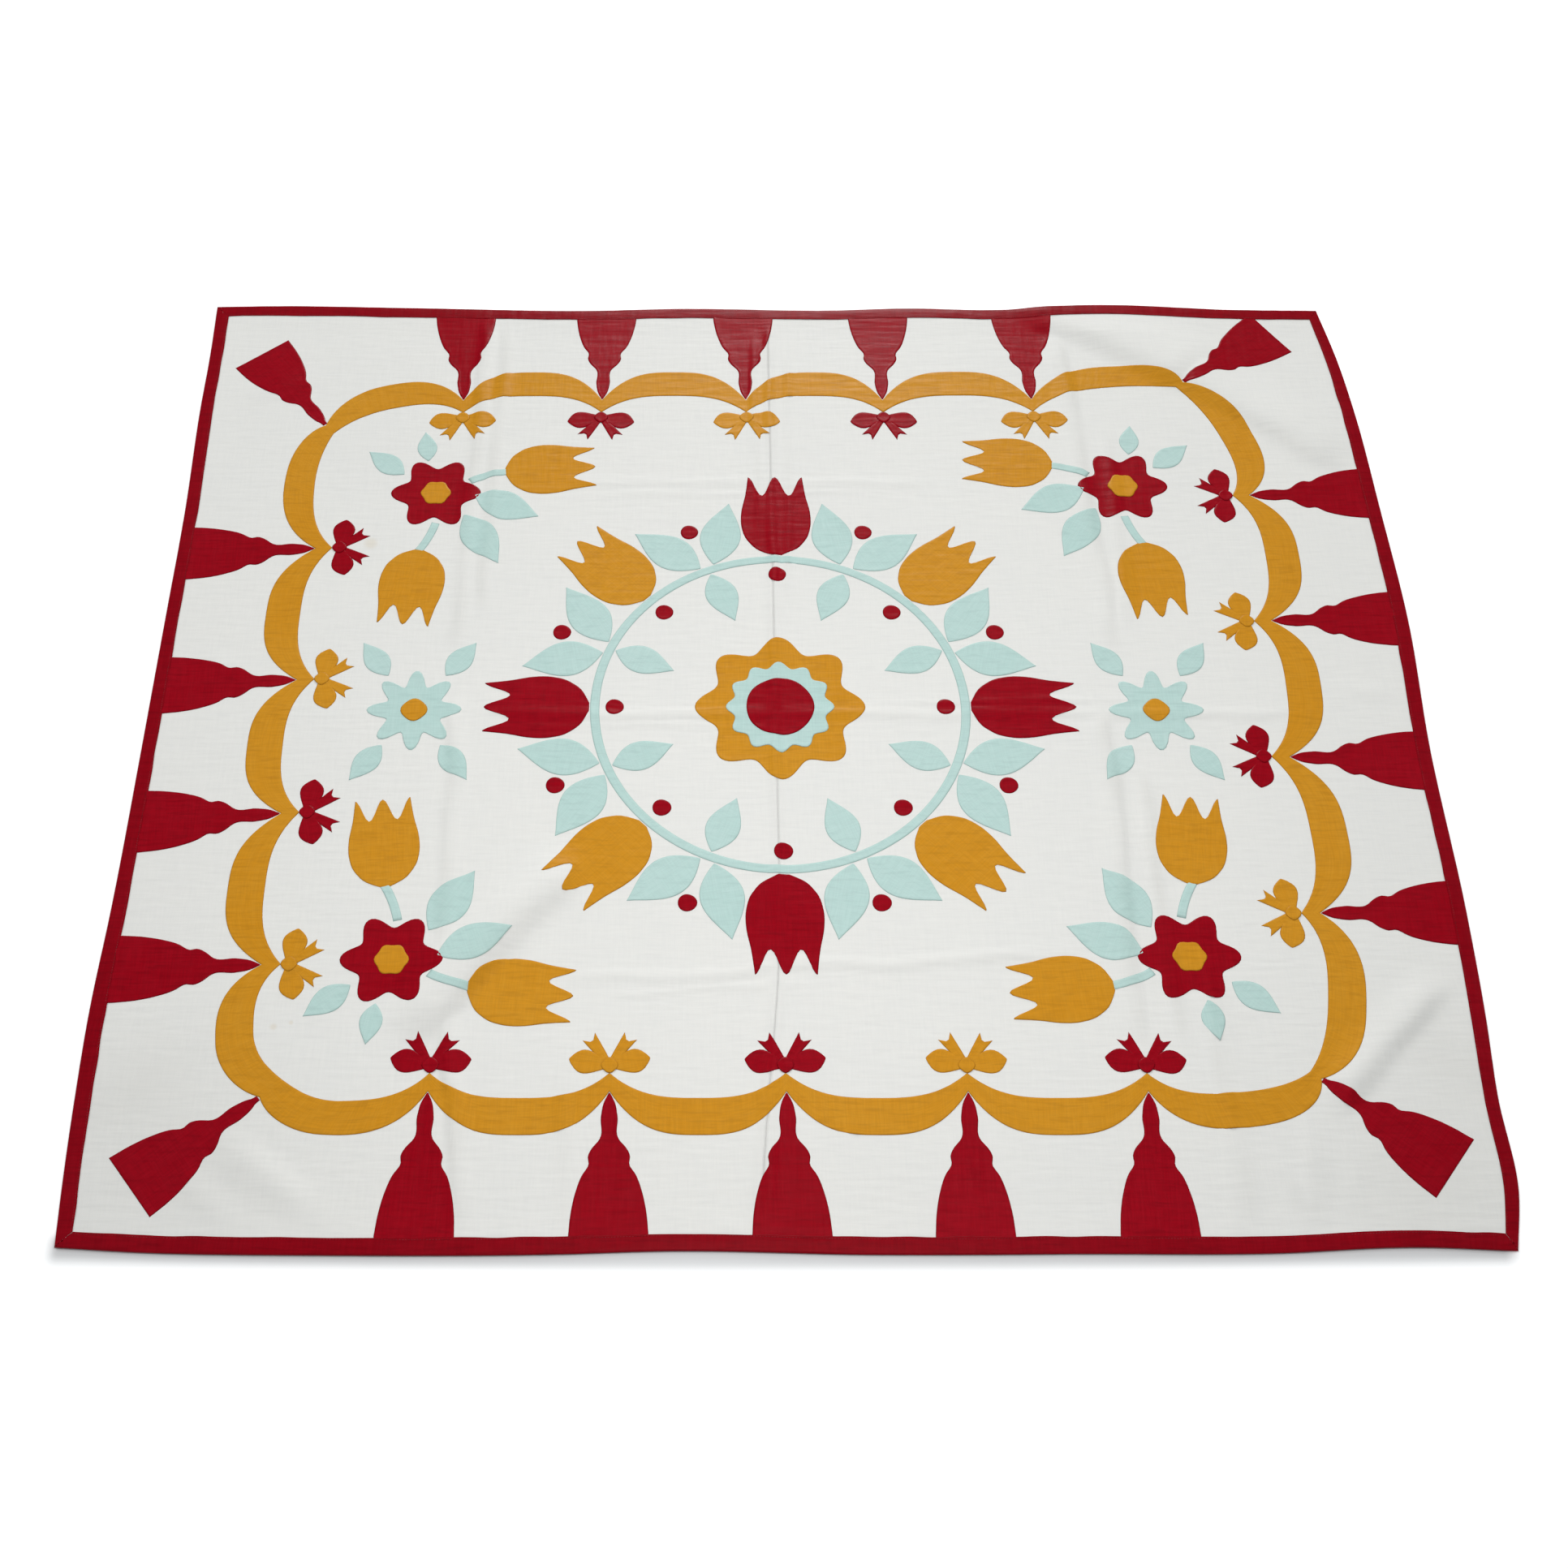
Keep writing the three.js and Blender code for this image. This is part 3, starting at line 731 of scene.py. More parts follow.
@dataclass(frozen=True)
class FloorFinish:
    """A white studio floor that glows, more so far away, and least just under the quilt's front edge, with a
    painted shadow there.
    """

    name: str = "white_floor"
    colour: tuple[float, float, float] = (0.97, 0.97, 0.97)
    glow: float = 0.32
    glow_far: float = 0.35
    far: tuple[float, float] = (1.2, 3.2)
    glow_front: tuple[float, float] = (0.909, 0.940)
    shade: float = 0.77
    shade_front: tuple[float, float] = (0.906, 0.927)
    bow: float = 0.011
    half_front: tuple[float, float] = (1.00, 1.03)
    start_front: tuple[float, float] = (0.870, 0.893)

    def build(self) -> bpy.types.Material:
        """Makes the node material."""
        kit = Kit(self.name)
        place = kit.node("ShaderNodeTexCoord", {}, {}, out="Object")
        x = kit.node("ShaderNodeSeparateXYZ", {}, {0: place}, "X")
        y = kit.node("ShaderNodeSeparateXYZ", {}, {0: place}, "Y")
        away = kit.node("ShaderNodeVectorMath", {"operation": "LENGTH"}, {0: place}, 1)
        aside = kit.node("ShaderNodeMath", {"operation": "ABSOLUTE"}, {0: x})
        forward = y * -1.0 + aside * aside * self.bow
        along_front = (1.0 - aside.step(*self.half_front)) * forward.step(*self.start_front)
        dull = (1.0 - forward.step(*self.glow_front)) * along_front
        glow = (1.0 - dull) * self.glow + away.step(*self.far) * self.glow_far
        # Painted shadow on the floor just in front of the quilt's front edge
        shaded = (1.0 - forward.step(*self.shade_front)) * along_front
        colour = kit.mix(shaded, self.colour, tuple(self.shade * value for value in self.colour))
        tint = kit.node("ShaderNodeCombineXYZ", {}, {0: glow, 1: glow, 2: glow})
        values = {"Base Color": colour, "Roughness": 0.9, "Specular IOR Level": 0.0}
        return kit.finish(values | {"Emission Color": tint, "Emission Strength": 1.0})


class Cloth(Enum):
    """The cottons of the quilt, by the material slot of each."""

    GROUND = "ground_cloth"
    RED = "red_cloth"
    AMBER = "amber_cloth"
    AQUA = "aqua_cloth"


FINISHES = {
    Cloth.GROUND: ClothFinish(
        name="off_white_cotton",
        colour=(0.797, 0.786, 0.750),
        faded=(0.763, 0.758, 0.733),
        shade=(0.60, 0.60, 0.58),
        mottle=0.5,
        slub=0.10,
        rough=0.5,
        pucker=0.0007,
        gloss=0.10,
        line=0.07,
        stains=((-700, 345, 16), (-735, 372, 9), (-747, -555, 8), (-722, -548, 5)),
    ),
    Cloth.RED: ClothFinish(
        name="red_cotton",
        colour=(0.310, 0.0006, 0.0075),
        faded=(0.345, 0.0040, 0.0130),
        shade=(0.120, 0.0006, 0.0040),
        mottle=0.7,
        slub=0.26,
        rough=0.34,
        pucker=0.0006,
        gloss=0.12,
    ),
    Cloth.AMBER: ClothFinish(
        name="amber_cotton",
        colour=(0.615, 0.262, 0.012),
        faded=(0.655, 0.305, 0.026),
        shade=(0.360, 0.150, 0.010),
        mottle=0.6,
        slub=0.22,
        rough=0.38,
        pucker=0.0009,
    ),
    Cloth.AQUA: ClothFinish(
        name="aqua_cotton",
        colour=(0.485, 0.668, 0.626),
        faded=(0.545, 0.698, 0.664),
        shade=(0.330, 0.480, 0.455),
        mottle=0.6,
        slub=0.20,
        rough=0.40,
        pucker=0.0005,
    ),
}


class Wardrobe:
    """Builds each finish once and hands it out."""

    def __init__(self) -> None:
        """Makes every material of the quilt."""
        self.cloths = {cloth: finish.build() for cloth, finish in FINISHES.items()}
        self.thread = ThreadFinish().build()

    def piece(self, name: str, body: Body, cloth: Cloth, nodes: tuple[str, ...] = ()) -> bpy.types.Object:
        """Makes one settled piece of a cloth, in place of the given nodes."""
        return Piece(make_object(name, body, self.cloths[cloth]), cloth, nodes).settle()


@dataclass
class Piece:
    """A finished piece and the nodes that it stands for."""

    item: bpy.types.Object
    slot: Cloth
    nodes: tuple[str, ...] = ()

    def settle(self) -> bpy.types.Object:
        """Rides the piece on the quilt's body, hides the nodes that it replaces, and reports it."""
        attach(self.item, "root")
        if self.nodes:
            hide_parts(*self.nodes)
        LOG.info("%s: %d faces", self.item.name, len(self.item.data.polygons))
        return self.item


@dataclass
class Ground:
    """The quilted sheet: two widths of cloth that meet at the centre seam, each closed with its backing."""

    lie: Lie
    seam_x: float = -15.0
    seam_gap: float = 0.04
    seam_dip: float = 0.7
    seam_roll: float = 4.0
    seam_shade_offset: float = 1.15
    seam_sway: float = -34.0
    sway_start: float = -350.0
    sway_span: float = 520.0
    sway_reach: float = 160.0
    edge_room: float = 1.3
    step_x: float = 17.0
    step_y: float = 3.98
    crowds_x: tuple[float, ...] = (-15, -531, -498, 524, 564, 736)
    crowds_y: tuple[float, ...] = (480, -4, -450)
    crowd_x: tuple[float, float] = (26.0, 2.6)
    crowd_y: tuple[float, float] = (22.0, 0.5)
    dip_front: float = 0.4
    dip_start: float = -500.0
    dip_span: float = 800.0

    def half(self, start: float, end: float) -> Body:
        """One width of the cloth between two places along X.

        The upper face is the lie's top, rolled down by dip * exp(-(distance / roll)^2) at the seam, less
        towards the front, and the underside is the lie's underside. The seam sways aside near the front.

        Args:
            start: left side of the width on the plain rectangle.
            end: its right side.

        Returns:
            A closed body.
        """
        lie = self.lie
        reach = lie.half_length - self.edge_room
        xs = graded(start, end, self.step_x, self.crowds_x, *self.crowd_x)
        ys = graded(-reach, reach, self.step_y, self.crowds_y, *self.crowd_y)
        straight, v = np.meshgrid(xs, ys, indexing="ij")
        from_seam = np.abs(straight - self.seam_x)
        sway = self.seam_sway * ease(np.clip((self.sway_start - v) / self.sway_span, 0, 1))
        u = straight + sway * np.exp(-((from_seam / self.sway_reach) ** 2))
        x, y = lie.place(u, v)
        edge = lie.edge_share(u, v)
        under = lie.rest(x, y, edge) + (lie.cloth + lie.gap) * edge
        backward = ease(np.clip((v - self.dip_start) / self.dip_span, 0, 1))
        dip = self.seam_dip * (self.dip_front + (1 - self.dip_front) * backward)
        roll = dip * np.exp(-((from_seam / self.seam_roll) ** 2))
        top = under + lie.sheet + lie.puckers(x, y) - roll
        rows, columns = u.shape
        count = rows * columns
        quads = grid_quads(rows, columns, False)
        walls = wall_quads(rim_loop(rows, columns), count)
        points = np.concatenate([lie.world(x, y, top), lie.world(x, y, under)])
        grain = np.tile(np.stack([y.ravel(), x.ravel()], axis=-1), (2, 1))
        # Distance from the seam, which the material turns into painted shade along it
        rim_distance = np.tile(from_seam.ravel() + self.seam_shade_offset, 2)
        # Painted shade along the creases and on the front corners
        soil = np.tile(lie.folds(x, y)[1].ravel(), 2)
        return Body(points, [quads, quads[:, ::-1] + count, walls], grain, rim_distance, soil)

    def build(self, wardrobe: Wardrobe) -> list[bpy.types.Object]:
        """Makes the left and the right width."""
        reach = self.lie.half_width - self.edge_room
        spans = {
            "quilt_left": (-reach, self.seam_x - self.seam_gap),
            "quilt_right": (self.seam_x + self.seam_gap, reach),
        }
        return [
            wardrobe.piece(name, self.half(start, end), Cloth.GROUND, ("quilt_body",))
            for name, (start, end) in spans.items()
        ]


class Side(Enum):
    """The four sides of the quilt: whether the side runs along Y, and its sign."""

    FRONT = (False, -1)
    BACK = (False, 1)
    LEFT = (True, -1)
    RIGHT = (True, 1)


@dataclass
class Binding:
    """Red strips folded round the raw edge, darker from use, with a line of stitches along each."""

    lie: Lie
    used: float = 2.2
    step: float = 5.5
    waver: float = 0.8
    stitch_inset: float = 22.2
    stitch_pitch: float = 4.2
    stitch_length: float = 2.9
    stitch_width: float = 0.7
    stitch_base: float = 0.55
    stitch_rise: float = 0.28
    lip_stops: tuple[float, ...] = (20.5, 16.0, 11.5, 7.0, 3.5)
    crown: float = 0.35
    pleat: float = 0.22
    fullness: float = 0.25
    clearance: float = 0.12

    def reach(self, side: Side) -> float:
        """Half the length of a side on the plain rectangle."""
        return self.lie.half_length if side.value[0] else self.lie.half_width

    def faced(self, side: Side, faces: list[Array]) -> list[Array]:
        """The faces of a strip, turned over on the sides where they would be inside out."""
        down, sign = side.value
        return [face[:, ::-1] for face in faces] if (sign < 0) == down else faces

    def spot(self, side: Side, along: Array, into: Array) -> tuple[Array, Array]:
        """Plan points at distances along a side and in from it."""
        down, sign = side.value
        across = sign * ((self.lie.half_width if down else self.lie.half_length) - into)
        return self.lie.place(across, along) if down else self.lie.place(along, across)

    def section(self) -> tuple[Array, Array, Array]:
        """The folded section as distances in from the edge, shares of its height and which wall each is on.

        The outer line runs from the upper lip round a half circle to the lower lip, and the inner line runs
        back one thickness inside it.

        Returns:
            Distance in, share of the height from 0 to 1, and 1 on the outer line or 0 on the inner one.
        """
        lie = self.lie
        bend = (lie.sheet + 2 * lie.cloth) / 2
        angle = np.linspace(math.pi / 2, -math.pi / 2, 9)
        lip = np.array([lie.binding_width, lie.binding_width - 0.5, *self.lip_stops])
        below = lip[::-2]
        outer_in = np.concatenate([lip, bend * (1 - np.cos(angle)), below])
        outer_up = np.concatenate([np.ones(len(lip)), (1 + np.sin(angle)) / 2, np.zeros(len(below))])
        inner_in = np.concatenate([lip, lie.cloth + (bend - lie.cloth) * (1 - np.cos(angle)), below])
        outward = np.repeat([1.0, 0.0], len(outer_in))
        return np.concatenate([outer_in, inner_in[::-1]]), np.concatenate([outer_up, outer_up[::-1]]), outward

    def strip(self, side: Side) -> Body:
        """One folded strip, mitred at both ends."""
        lie = self.lie
        reach = self.reach(side)
        into, up, outward = self.section()
        stops = np.linspace(-reach, reach, int(2 * reach / self.step))
        along, inward = np.meshgrid(stops, into, indexing="ij")
        limit = reach - inward - lie.gap
        along = np.clip(along, -limit, limit)
        seed = 60 + list(Side).index(side)
        waver = Noise(seed, 38, 38)(along, inward * 0) * self.waver
        lip = np.clip((inward - 8) / 12, 0, 1) * up[None, :]
        x, y = self.spot(side, along, inward + waver * lip)
        bottom = lie.rest(x, y, np.ones_like(x))
        crown = self.crown * np.sin(math.pi * np.clip(inward / lie.binding_width, 0, 1)) * up[None, :]
        pleat = self.pleat * Noise(seed + 10, 13, 30)(along, inward)
        flat = bottom + lie.cloth + lie.gap + lie.sheet + self.clearance
        over = flat + (pleat + self.fullness) * up[None, :] + crown
        outer = bottom + (over + lie.cloth - bottom) * up
        inner = bottom + lie.cloth + (over - bottom - lie.cloth) * up
        z = np.where(outward[None, :] > 0, outer, inner)
        rows, columns = along.shape
        numbers = np.arange(rows * columns).reshape(rows, columns)
        ends = [self.caps(numbers[0]), self.caps(numbers[-1])[:, ::-1]]
        faces = self.faced(side, [tube_quads(numbers), *ends])
        grain = np.stack([along.ravel(), inward.ravel()], axis=-1)
        # Distance from the lip, which the material turns into a painted shadow line along it
        from_lip = np.where(up[None, :] > 0.9, lie.binding_width - inward + 0.5, NO_EDGE)
        # Painted shade along the creases, plus the binding's own darker tone from use
        soil = lie.folds(x, y)[1].ravel() + self.used
        return Body(lie.world(x, y, z), faces, grain, from_lip.ravel(), soil)

    def caps(self, ring: Array) -> Array:
        """Quads that close one mitred end, between the section's outer line and its inner one."""
        outer, inner = ring[: len(ring) // 2], ring[: len(ring) // 2 - 1 : -1]
        return np.stack([outer[:-1], inner[:-1], inner[1:], outer[1:]], axis=-1)

    def stitches(self) -> Body:
        """Short raised dashes of thread along the lip of every strip, as six-sided beads drawn out flat."""
        lie = self.lie
        bodies = []
        for side in Side:
            reach = self.reach(side) - lie.binding_width
            centres = np.arange(-reach, reach, self.stitch_pitch)
            centres = centres + 0.5 * Noise(31, 9, 9)(centres, centres * 0)
            into = self.stitch_inset + 0.5 * Noise(32, 60, 60)(centres, centres * 0)
            ends = np.array([-0.5, -0.3, 0.3, 0.5]) * self.stitch_length
            bulge = np.array([0.15, 1.0, 1.0, 0.15])
            turn = np.arange(6) / 6 * 2 * math.pi
            along = centres[:, None, None] + ends[None, :, None] + 0 * turn
            inward = into[:, None, None] + (bulge[:, None] * np.cos(turn))[None] * self.stitch_width / 2
            x, y = self.spot(side, along, inward)
            bottom = lie.rest(x, y, np.ones_like(x))
            base = bottom + 2 * lie.cloth + lie.gap + lie.sheet + self.stitch_base
            z = base + (bulge[:, None] * np.sin(turn))[None] * self.stitch_rise
            numbers = np.arange(x.size).reshape(x.shape)
            closed = np.concatenate([numbers[:, 0], numbers[:, -1, ::-1]])
            faces = self.faced(side, [tube_quads(numbers), closed])
            grain = np.stack([along.ravel(), inward.ravel()], axis=-1)
            bodies.append(Body(lie.world(x, y, z), faces, grain, np.full(x.size, NO_EDGE), np.zeros(x.size)))
        return join(bodies)

    def build(self, wardrobe: Wardrobe) -> list[bpy.types.Object]:
        """Makes the four strips and their stitches."""
        made = []
        for side in Side:
            name = side.name.lower()
            replaced = (f"binding_{name}",)
            made.append(wardrobe.piece(f"bound_edge_{name}", self.strip(side), Cloth.RED, replaced))
        item = make_object("binding_stitches", self.stitches(), wardrobe.thread)
        made.append(Piece(item, Cloth.RED).settle())
        return made


def across_stations(width: float, step: float = 6.0) -> Array:
    """Shares across a strip of a given width: close together at both cut edges, then about a step apart."""
    rim = RIM_STATIONS / width
    rim = rim[rim < 0.4]
    inner = np.linspace(rim[-1], 1 - rim[-1], max(3, int(width / step) + 1))
    return np.concatenate([rim, inner[1:-1], 1 - rim[::-1]])


@dataclass
class Patches:
    """Shapes of applied patches as grids, and the making of closed patches from them."""

    lie: Lie
    thick: float = 0.75
    turned: float = 0.32
    turned_at: float = 2.4
    layer: float = 1.0
    step: float = 4.5
    above: float = 0.12
    below: float = 0.04
    rounding: float = 0.6
    turned_reach: float = 1.6

    def band(self, first: Array, second: Array, width: float, ring: bool = False) -> Grid:
        """A strip of cloth between two edge lines.

        A point at share v across lies at first + v * (second - first).

        Args:
            first: points of one edge line, on the right hand as the line runs on.
            second: points of the other edge line.
            width: usual width, which sets how many points go across.
            ring: whether the strip closes on itself.

        Returns:
            The strip's grid.
        """
        v = across_stations(width)
        points = first[:, None, :] + v[None, :, None] * (second - first)[:, None, :]
        wide = np.linalg.norm(second - first, axis=1)
        middle = (first + second) / 2
        steps = np.linalg.norm(np.diff(middle, axis=0), axis=1)
        along = np.concatenate([[0.0], np.cumsum(steps)])
        edge = np.minimum(v, 1 - v)[None, :] * wide[:, None]
        if not ring:
            edge = np.minimum(edge, np.minimum(along, along[-1] - along)[:, None])
        across = (v[None, :] - 0.5) * wide[:, None]
        grain = np.stack(np.broadcast_arrays(along[:, None], across), axis=-1)
        return Grid(points[..., 0], points[..., 1], edge, grain, ring)

    def spindle(
        self,
        root: Array,
        angle: float,
        length: float,
        half: Callable[[Array], Array],
        end: Callable[[Array], Array] | None = None,
    ) -> Grid:
        """A patch that widens and narrows along a straight axis.

        A point at share u along and v across, from -1 to 1, lies at root + axis * u * length * (1 + u^2 *
        end(v)) + side * v * half(u).

        Args:
            root: plan point of its foot.
            angle: direction of its axis, in radians.
            length: its length.
            half: its half width at shares along it.
            end: how far its far end stands out at shares across it, as a share of its length.

        Returns:
            The patch's grid.
        """
        shares = np.linspace(0, 1, max(8, int(length / self.step)))
        rim = RIM_STATIONS[1:3]
        shares = np.unique(np.concatenate([shares, rim / length, (length - rim) / length]))
        widest = 2 * float(half(np.linspace(0, 1, 40)).max())
        v = across_stations(widest) * 2 - 1
        axis = heading(angle)
        side = np.array([-axis[1], axis[0]])
        stands_out = end(v)[None, :] if end else 0.0
        reach = shares[:, None] * length * (1 + shares[:, None] ** 2 * stands_out) + 0.0 * v[None, :]
        across = v[None, :] * half(shares)[:, None]
        points = root + reach[..., None] * axis + across[..., None] * side
        to_sides = (1 - np.abs(v))[None, :] * half(shares)[:, None]
        to_ends = np.minimum(shares, 1 - shares)[:, None] * length
        edge = np.minimum(to_sides, to_ends)
        return Grid(points[..., 0], points[..., 1], edge, np.stack([reach, across], axis=-1))

    def lobed(self, centre: Sequence[float], mean: float, depth: float, petals: int) -> Grid:
        """A round patch of radius mean + depth * cos(petals * angle), as rings from its rim to its middle."""
        further = np.linspace(8.0, mean - depth - 1.0, max(3, int(mean / 8)))
        inward = np.concatenate([RIM_STATIONS, further])
        count = max(24, int(2 * math.pi * mean / self.step))
        angle = np.arange(count) / count * 2 * math.pi
        radius = mean + depth * np.cos(petals * angle)
        share = np.append(1 - inward / (mean - depth), 0.0)
        ring = radius[:, None] * share[None, :]
        x = centre[0] + ring * np.cos(angle)[:, None]
        y = centre[1] + ring * np.sin(angle)[:, None]
        grain = np.stack([x, y], axis=-1)
        return Grid(x, y, radius[:, None] * (1 - share[None, :]), grain, True, True)

    def stem(self, points: Sequence[Sequence[float]], width: float) -> Grid:
        """A narrow strip along a smooth curve from the first point to the last, pulled towards the second."""
        start, pull, end = (np.array(p, float) for p in points)
        length = np.linalg.norm(pull - start) + np.linalg.norm(end - pull)
        t = np.linspace(0, 1, max(6, int(length / self.step)))[:, None]
        line = start * (1 - t) ** 2 + pull * 2 * t * (1 - t) + end * t**2
        slope = np.gradient(line, axis=0)
        normal = np.stack([-slope[:, 1], slope[:, 0]], axis=-1)
        normal /= np.linalg.norm(normal, axis=1, keepdims=True)
        return self.band(line - normal * width / 2, line + normal * width / 2, width)

    def sew(self, grid: Grid, level: int = 0) -> Body:
        """Lays one patch on the quilt as a closed body.

        Its upper face stands above + thick * (1 - exp(-edge / rounding)) over what carries it, with a ridge
        turned * exp(-((edge - turned_at) / turned_reach)^2) where its edge is turned under, and its own fine
        puckers.

        Args:
            grid: the patch.
            level: how many patches it lies on.

        Returns:
            The closed body.
        """
        lie = self.lie
        base = lie.top(grid.x, grid.y) + level * self.layer
        ridge = self.turned * np.exp(-(((grid.edge - self.turned_at) / self.turned_reach) ** 2))
        body = 1 - np.exp(-grid.edge / self.rounding)
        pucker = 0.16 * Noise(71, 60, 7.5)(grid.x, grid.y) + 0.10 * Noise(72, 9, 40)(grid.x, grid.y)
        top = base + self.above + self.thick * body + (ridge + pucker * np.clip(grid.edge / 5, 0, 1)) * body
        under = base + self.below
        rows, columns = grid.x.shape
        count = rows * columns
        numbers = np.arange(count).reshape(rows, columns)
        quads = grid_quads(rows, columns, grid.ring)
        upper = [quads]
        if grid.pole:
            near = numbers[:, -2]
            middle = np.full(rows, numbers[0, -1])
            fan = np.stack([near, np.roll(near, -1), middle], axis=-1)
            upper = [quads[quads[:, 2] % columns < columns - 1], fan]
        loops = [rim_loop(rows, columns)]
        if grid.ring:
            loops = [numbers[:, 0]] if grid.pole else [numbers[:, 0], numbers[::-1, -1]]
        walls = [wall_quads(loop, count) for loop in loops]
        points = np.concatenate([lie.world(grid.x, grid.y, top), lie.world(grid.x, grid.y, under)])
        grain = np.tile(grid.grain.reshape(-1, 2), (2, 1))
        edge = np.tile(grid.edge.ravel(), 2)
        faces = [*upper, *(face[:, ::-1] + count for face in upper), *walls]
        corner = points[upper[0][len(upper[0]) // 2]]
        normal = np.cross(corner[1] - corner[0], corner[3] - corner[0])
        if normal[2] < 0:
            faces = [face[:, ::-1] for face in faces]
        # Painted shade along the creases under the patch
        soil = np.tile(lie.folds(grid.x, grid.y)[1].ravel(), 2)
        return compact(Body(points, faces, grain, edge, soil))


@dataclass
class Border:
    """The swag garland, the tassels that hang from its joints and the bows that tie it."""

    lie: Lie
    patches: Patches
    inner_middle: float = 26.0
    outer_middle: float = 83.0
    steps: int = 62
    round_reach: int = 20
    tassel_start: float = 18.0
    tassel_length: float = 214.0
    free_tip: float = 4.5
    bow_inset: float = 25.0
    loop_length: float = 60.0
    loop_turn: float = 80.0
    tail_length: float = 50.0
    tail_turn: float = 34.0
    tail_notch: float = 0.22
    knot_radius: float = 12.0
    least_half: float = 0.6
    tuck: float = 6.0
    search: tuple[float, float] = (120.0, 320.0)
    swag_width: float = 56.0

    def out(self, lean: Array) -> Array:
        """Unit vectors for directions in degrees."""
        angle = np.radians(lean)
        return np.stack([np.cos(angle), np.sin(angle)], axis=-1)

    def garland(self) -> Grid:
        """All the swags as one ring of cloth.

        Between two joints a point of an edge lies on the line between them, pushed outwards by end + (middle
        - end) * (1 - |2s - 1|^power) at share s, with the end and power of the nearer joint. The inner edge
        runs on in one curve past the first joint.

        Returns:
            The ring's grid.
        """
        at = np.stack([JOINTS["x"], JOINTS["y"]], axis=-1)
        ahead = np.roll(at, -1, axis=0)
        out, out_ahead = self.out(JOINTS["lean"]), self.out(np.roll(JOINTS["lean"], -1))
        s = (0.5 - 0.5 * np.cos(np.pi * np.arange(self.steps) / self.steps))[None, :, None]
        line = at[:, None] * (1 - s) + ahead[:, None] * s
        push = out[:, None] * (1 - s) + out_ahead[:, None] * s
        push /= np.linalg.norm(push, axis=-1, keepdims=True)
        edges = []
        for column, middle in (("outer", self.outer_middle), ("inner", self.inner_middle)):
            stop, power = self.nearer(column, s), self.nearer("power", s)
            swell = 1 - np.abs(2 * s - 1) ** power
            edges.append((line + push * (stop + (middle - stop) * swell)).reshape(-1, 2))
        return self.patches.band(edges[0], self.rounded(edges[1], 0), self.swag_width, True)

    def rounded(self, edge: Array, corner: int) -> Array:
        """Rounds a closed edge at one of its points, with a cubic from before it to as far after it.

        Args:
            edge: points of the closed edge.
            corner: index of the point to round.

        Returns:
            The edge with that stretch replaced.
        """
        places = (corner + np.arange(-self.round_reach, self.round_reach + 1)) % len(edge)
        old = edge[places]
        paces = np.linalg.norm(np.diff(old, axis=0), axis=1)
        t = (np.concatenate([[0.0], np.cumsum(paces)]) / paces.sum())[:, None]
        chord = np.linalg.norm(old[-1] - old[0])
        leave = (old[1] - old[0]) / paces[0] * chord
        arrive = (old[-1] - old[-2]) / paces[-1] * chord
        straight = old[0] * (1 - ease(t)) + old[-1] * ease(t)
        curve = straight + leave * t * (1 - t) ** 2 - arrive * t**2 * (1 - t)
        moved = edge.copy()
        moved[places] = curve
        return moved

    def nearer(self, column: str, s: Array) -> Array:
        """A column of the joints for each swag: its own joint's up to the middle, then the next one's."""
        own = JOINTS[column][:, None, None]
        return np.where(s < 0.5, own, np.roll(own, -1, axis=0))

    def tassel(self, joint: Any) -> Grid:
        """One tassel. The hem of a side tassel runs on under the binding."""
        out = self.out(np.array(joint["lean"]))
        root = np.array([joint["x"], joint["y"]]) + out * self.tassel_start
        length = self.tassel_length if joint["free"] else self.to_binding(root, out)
        least = self.free_tip if joint["free"] else self.least_half

        def half(share: Array) -> Array:
            along = share * length / self.tassel_length
            return np.maximum(least, smooth_column(TASSEL_PROFILE, "half", along, "along"))

        return self.patches.spindle(root, math.radians(float(joint["lean"])), length, half)

    def to_binding(self, root: Array, out: Array) -> float:
        """Distance from a point, along a direction, to just under the lip of the binding."""
        reach = np.linspace(*self.search, 401)
        u, v = self.lie.plain(root[0] + out[0] * reach, root[1] + out[1] * reach)
        inward = np.minimum(self.lie.half_width - np.abs(u), self.lie.half_length - np.abs(v))
        return float(reach[np.argmax(inward < self.lie.binding_width - self.tuck)])

    def bow(self, joint: Any) -> list[tuple[Grid, int]]:
        """A bow on the inner side of a joint: two loops and two tails under a knot, with their levels."""
        out = self.out(np.array(joint["lean"]))
        knot = np.array([joint["x"], joint["y"]]) - out * self.bow_inset
        inward = math.radians(float(joint["lean"])) + math.pi
        loop_turns = [inward + sign * math.radians(self.loop_turn) for sign in (-1, 1)]
        tail_turns = [inward + sign * math.radians(self.tail_turn) for sign in (-1, 1)]

        def loop(share: Array) -> Array:
            s = np.clip(share, 0, 1)
            return (5.0 + 14.0 * np.sin(math.pi * s**1.5) ** 0.8) * np.sqrt(1.0 - 0.985 * s**9)

        def tail(share: Array) -> Array:
            return 4.5 + 6.5 * share

        def fork(across: Array) -> Array:
            return self.tail_notch * (np.abs(across) - 0.5)

        loops = [self.patches.spindle(knot, turn, self.loop_length, loop) for turn in loop_turns]
        tails = [self.patches.spindle(knot, turn, self.tail_length, tail, fork) for turn in tail_turns]
        tie = self.patches.lobed(knot, self.knot_radius, 0.6, 4)
        return [(grid, 0) for grid in tails] + [(grid, 0) for grid in loops] + [(tie, 1)]

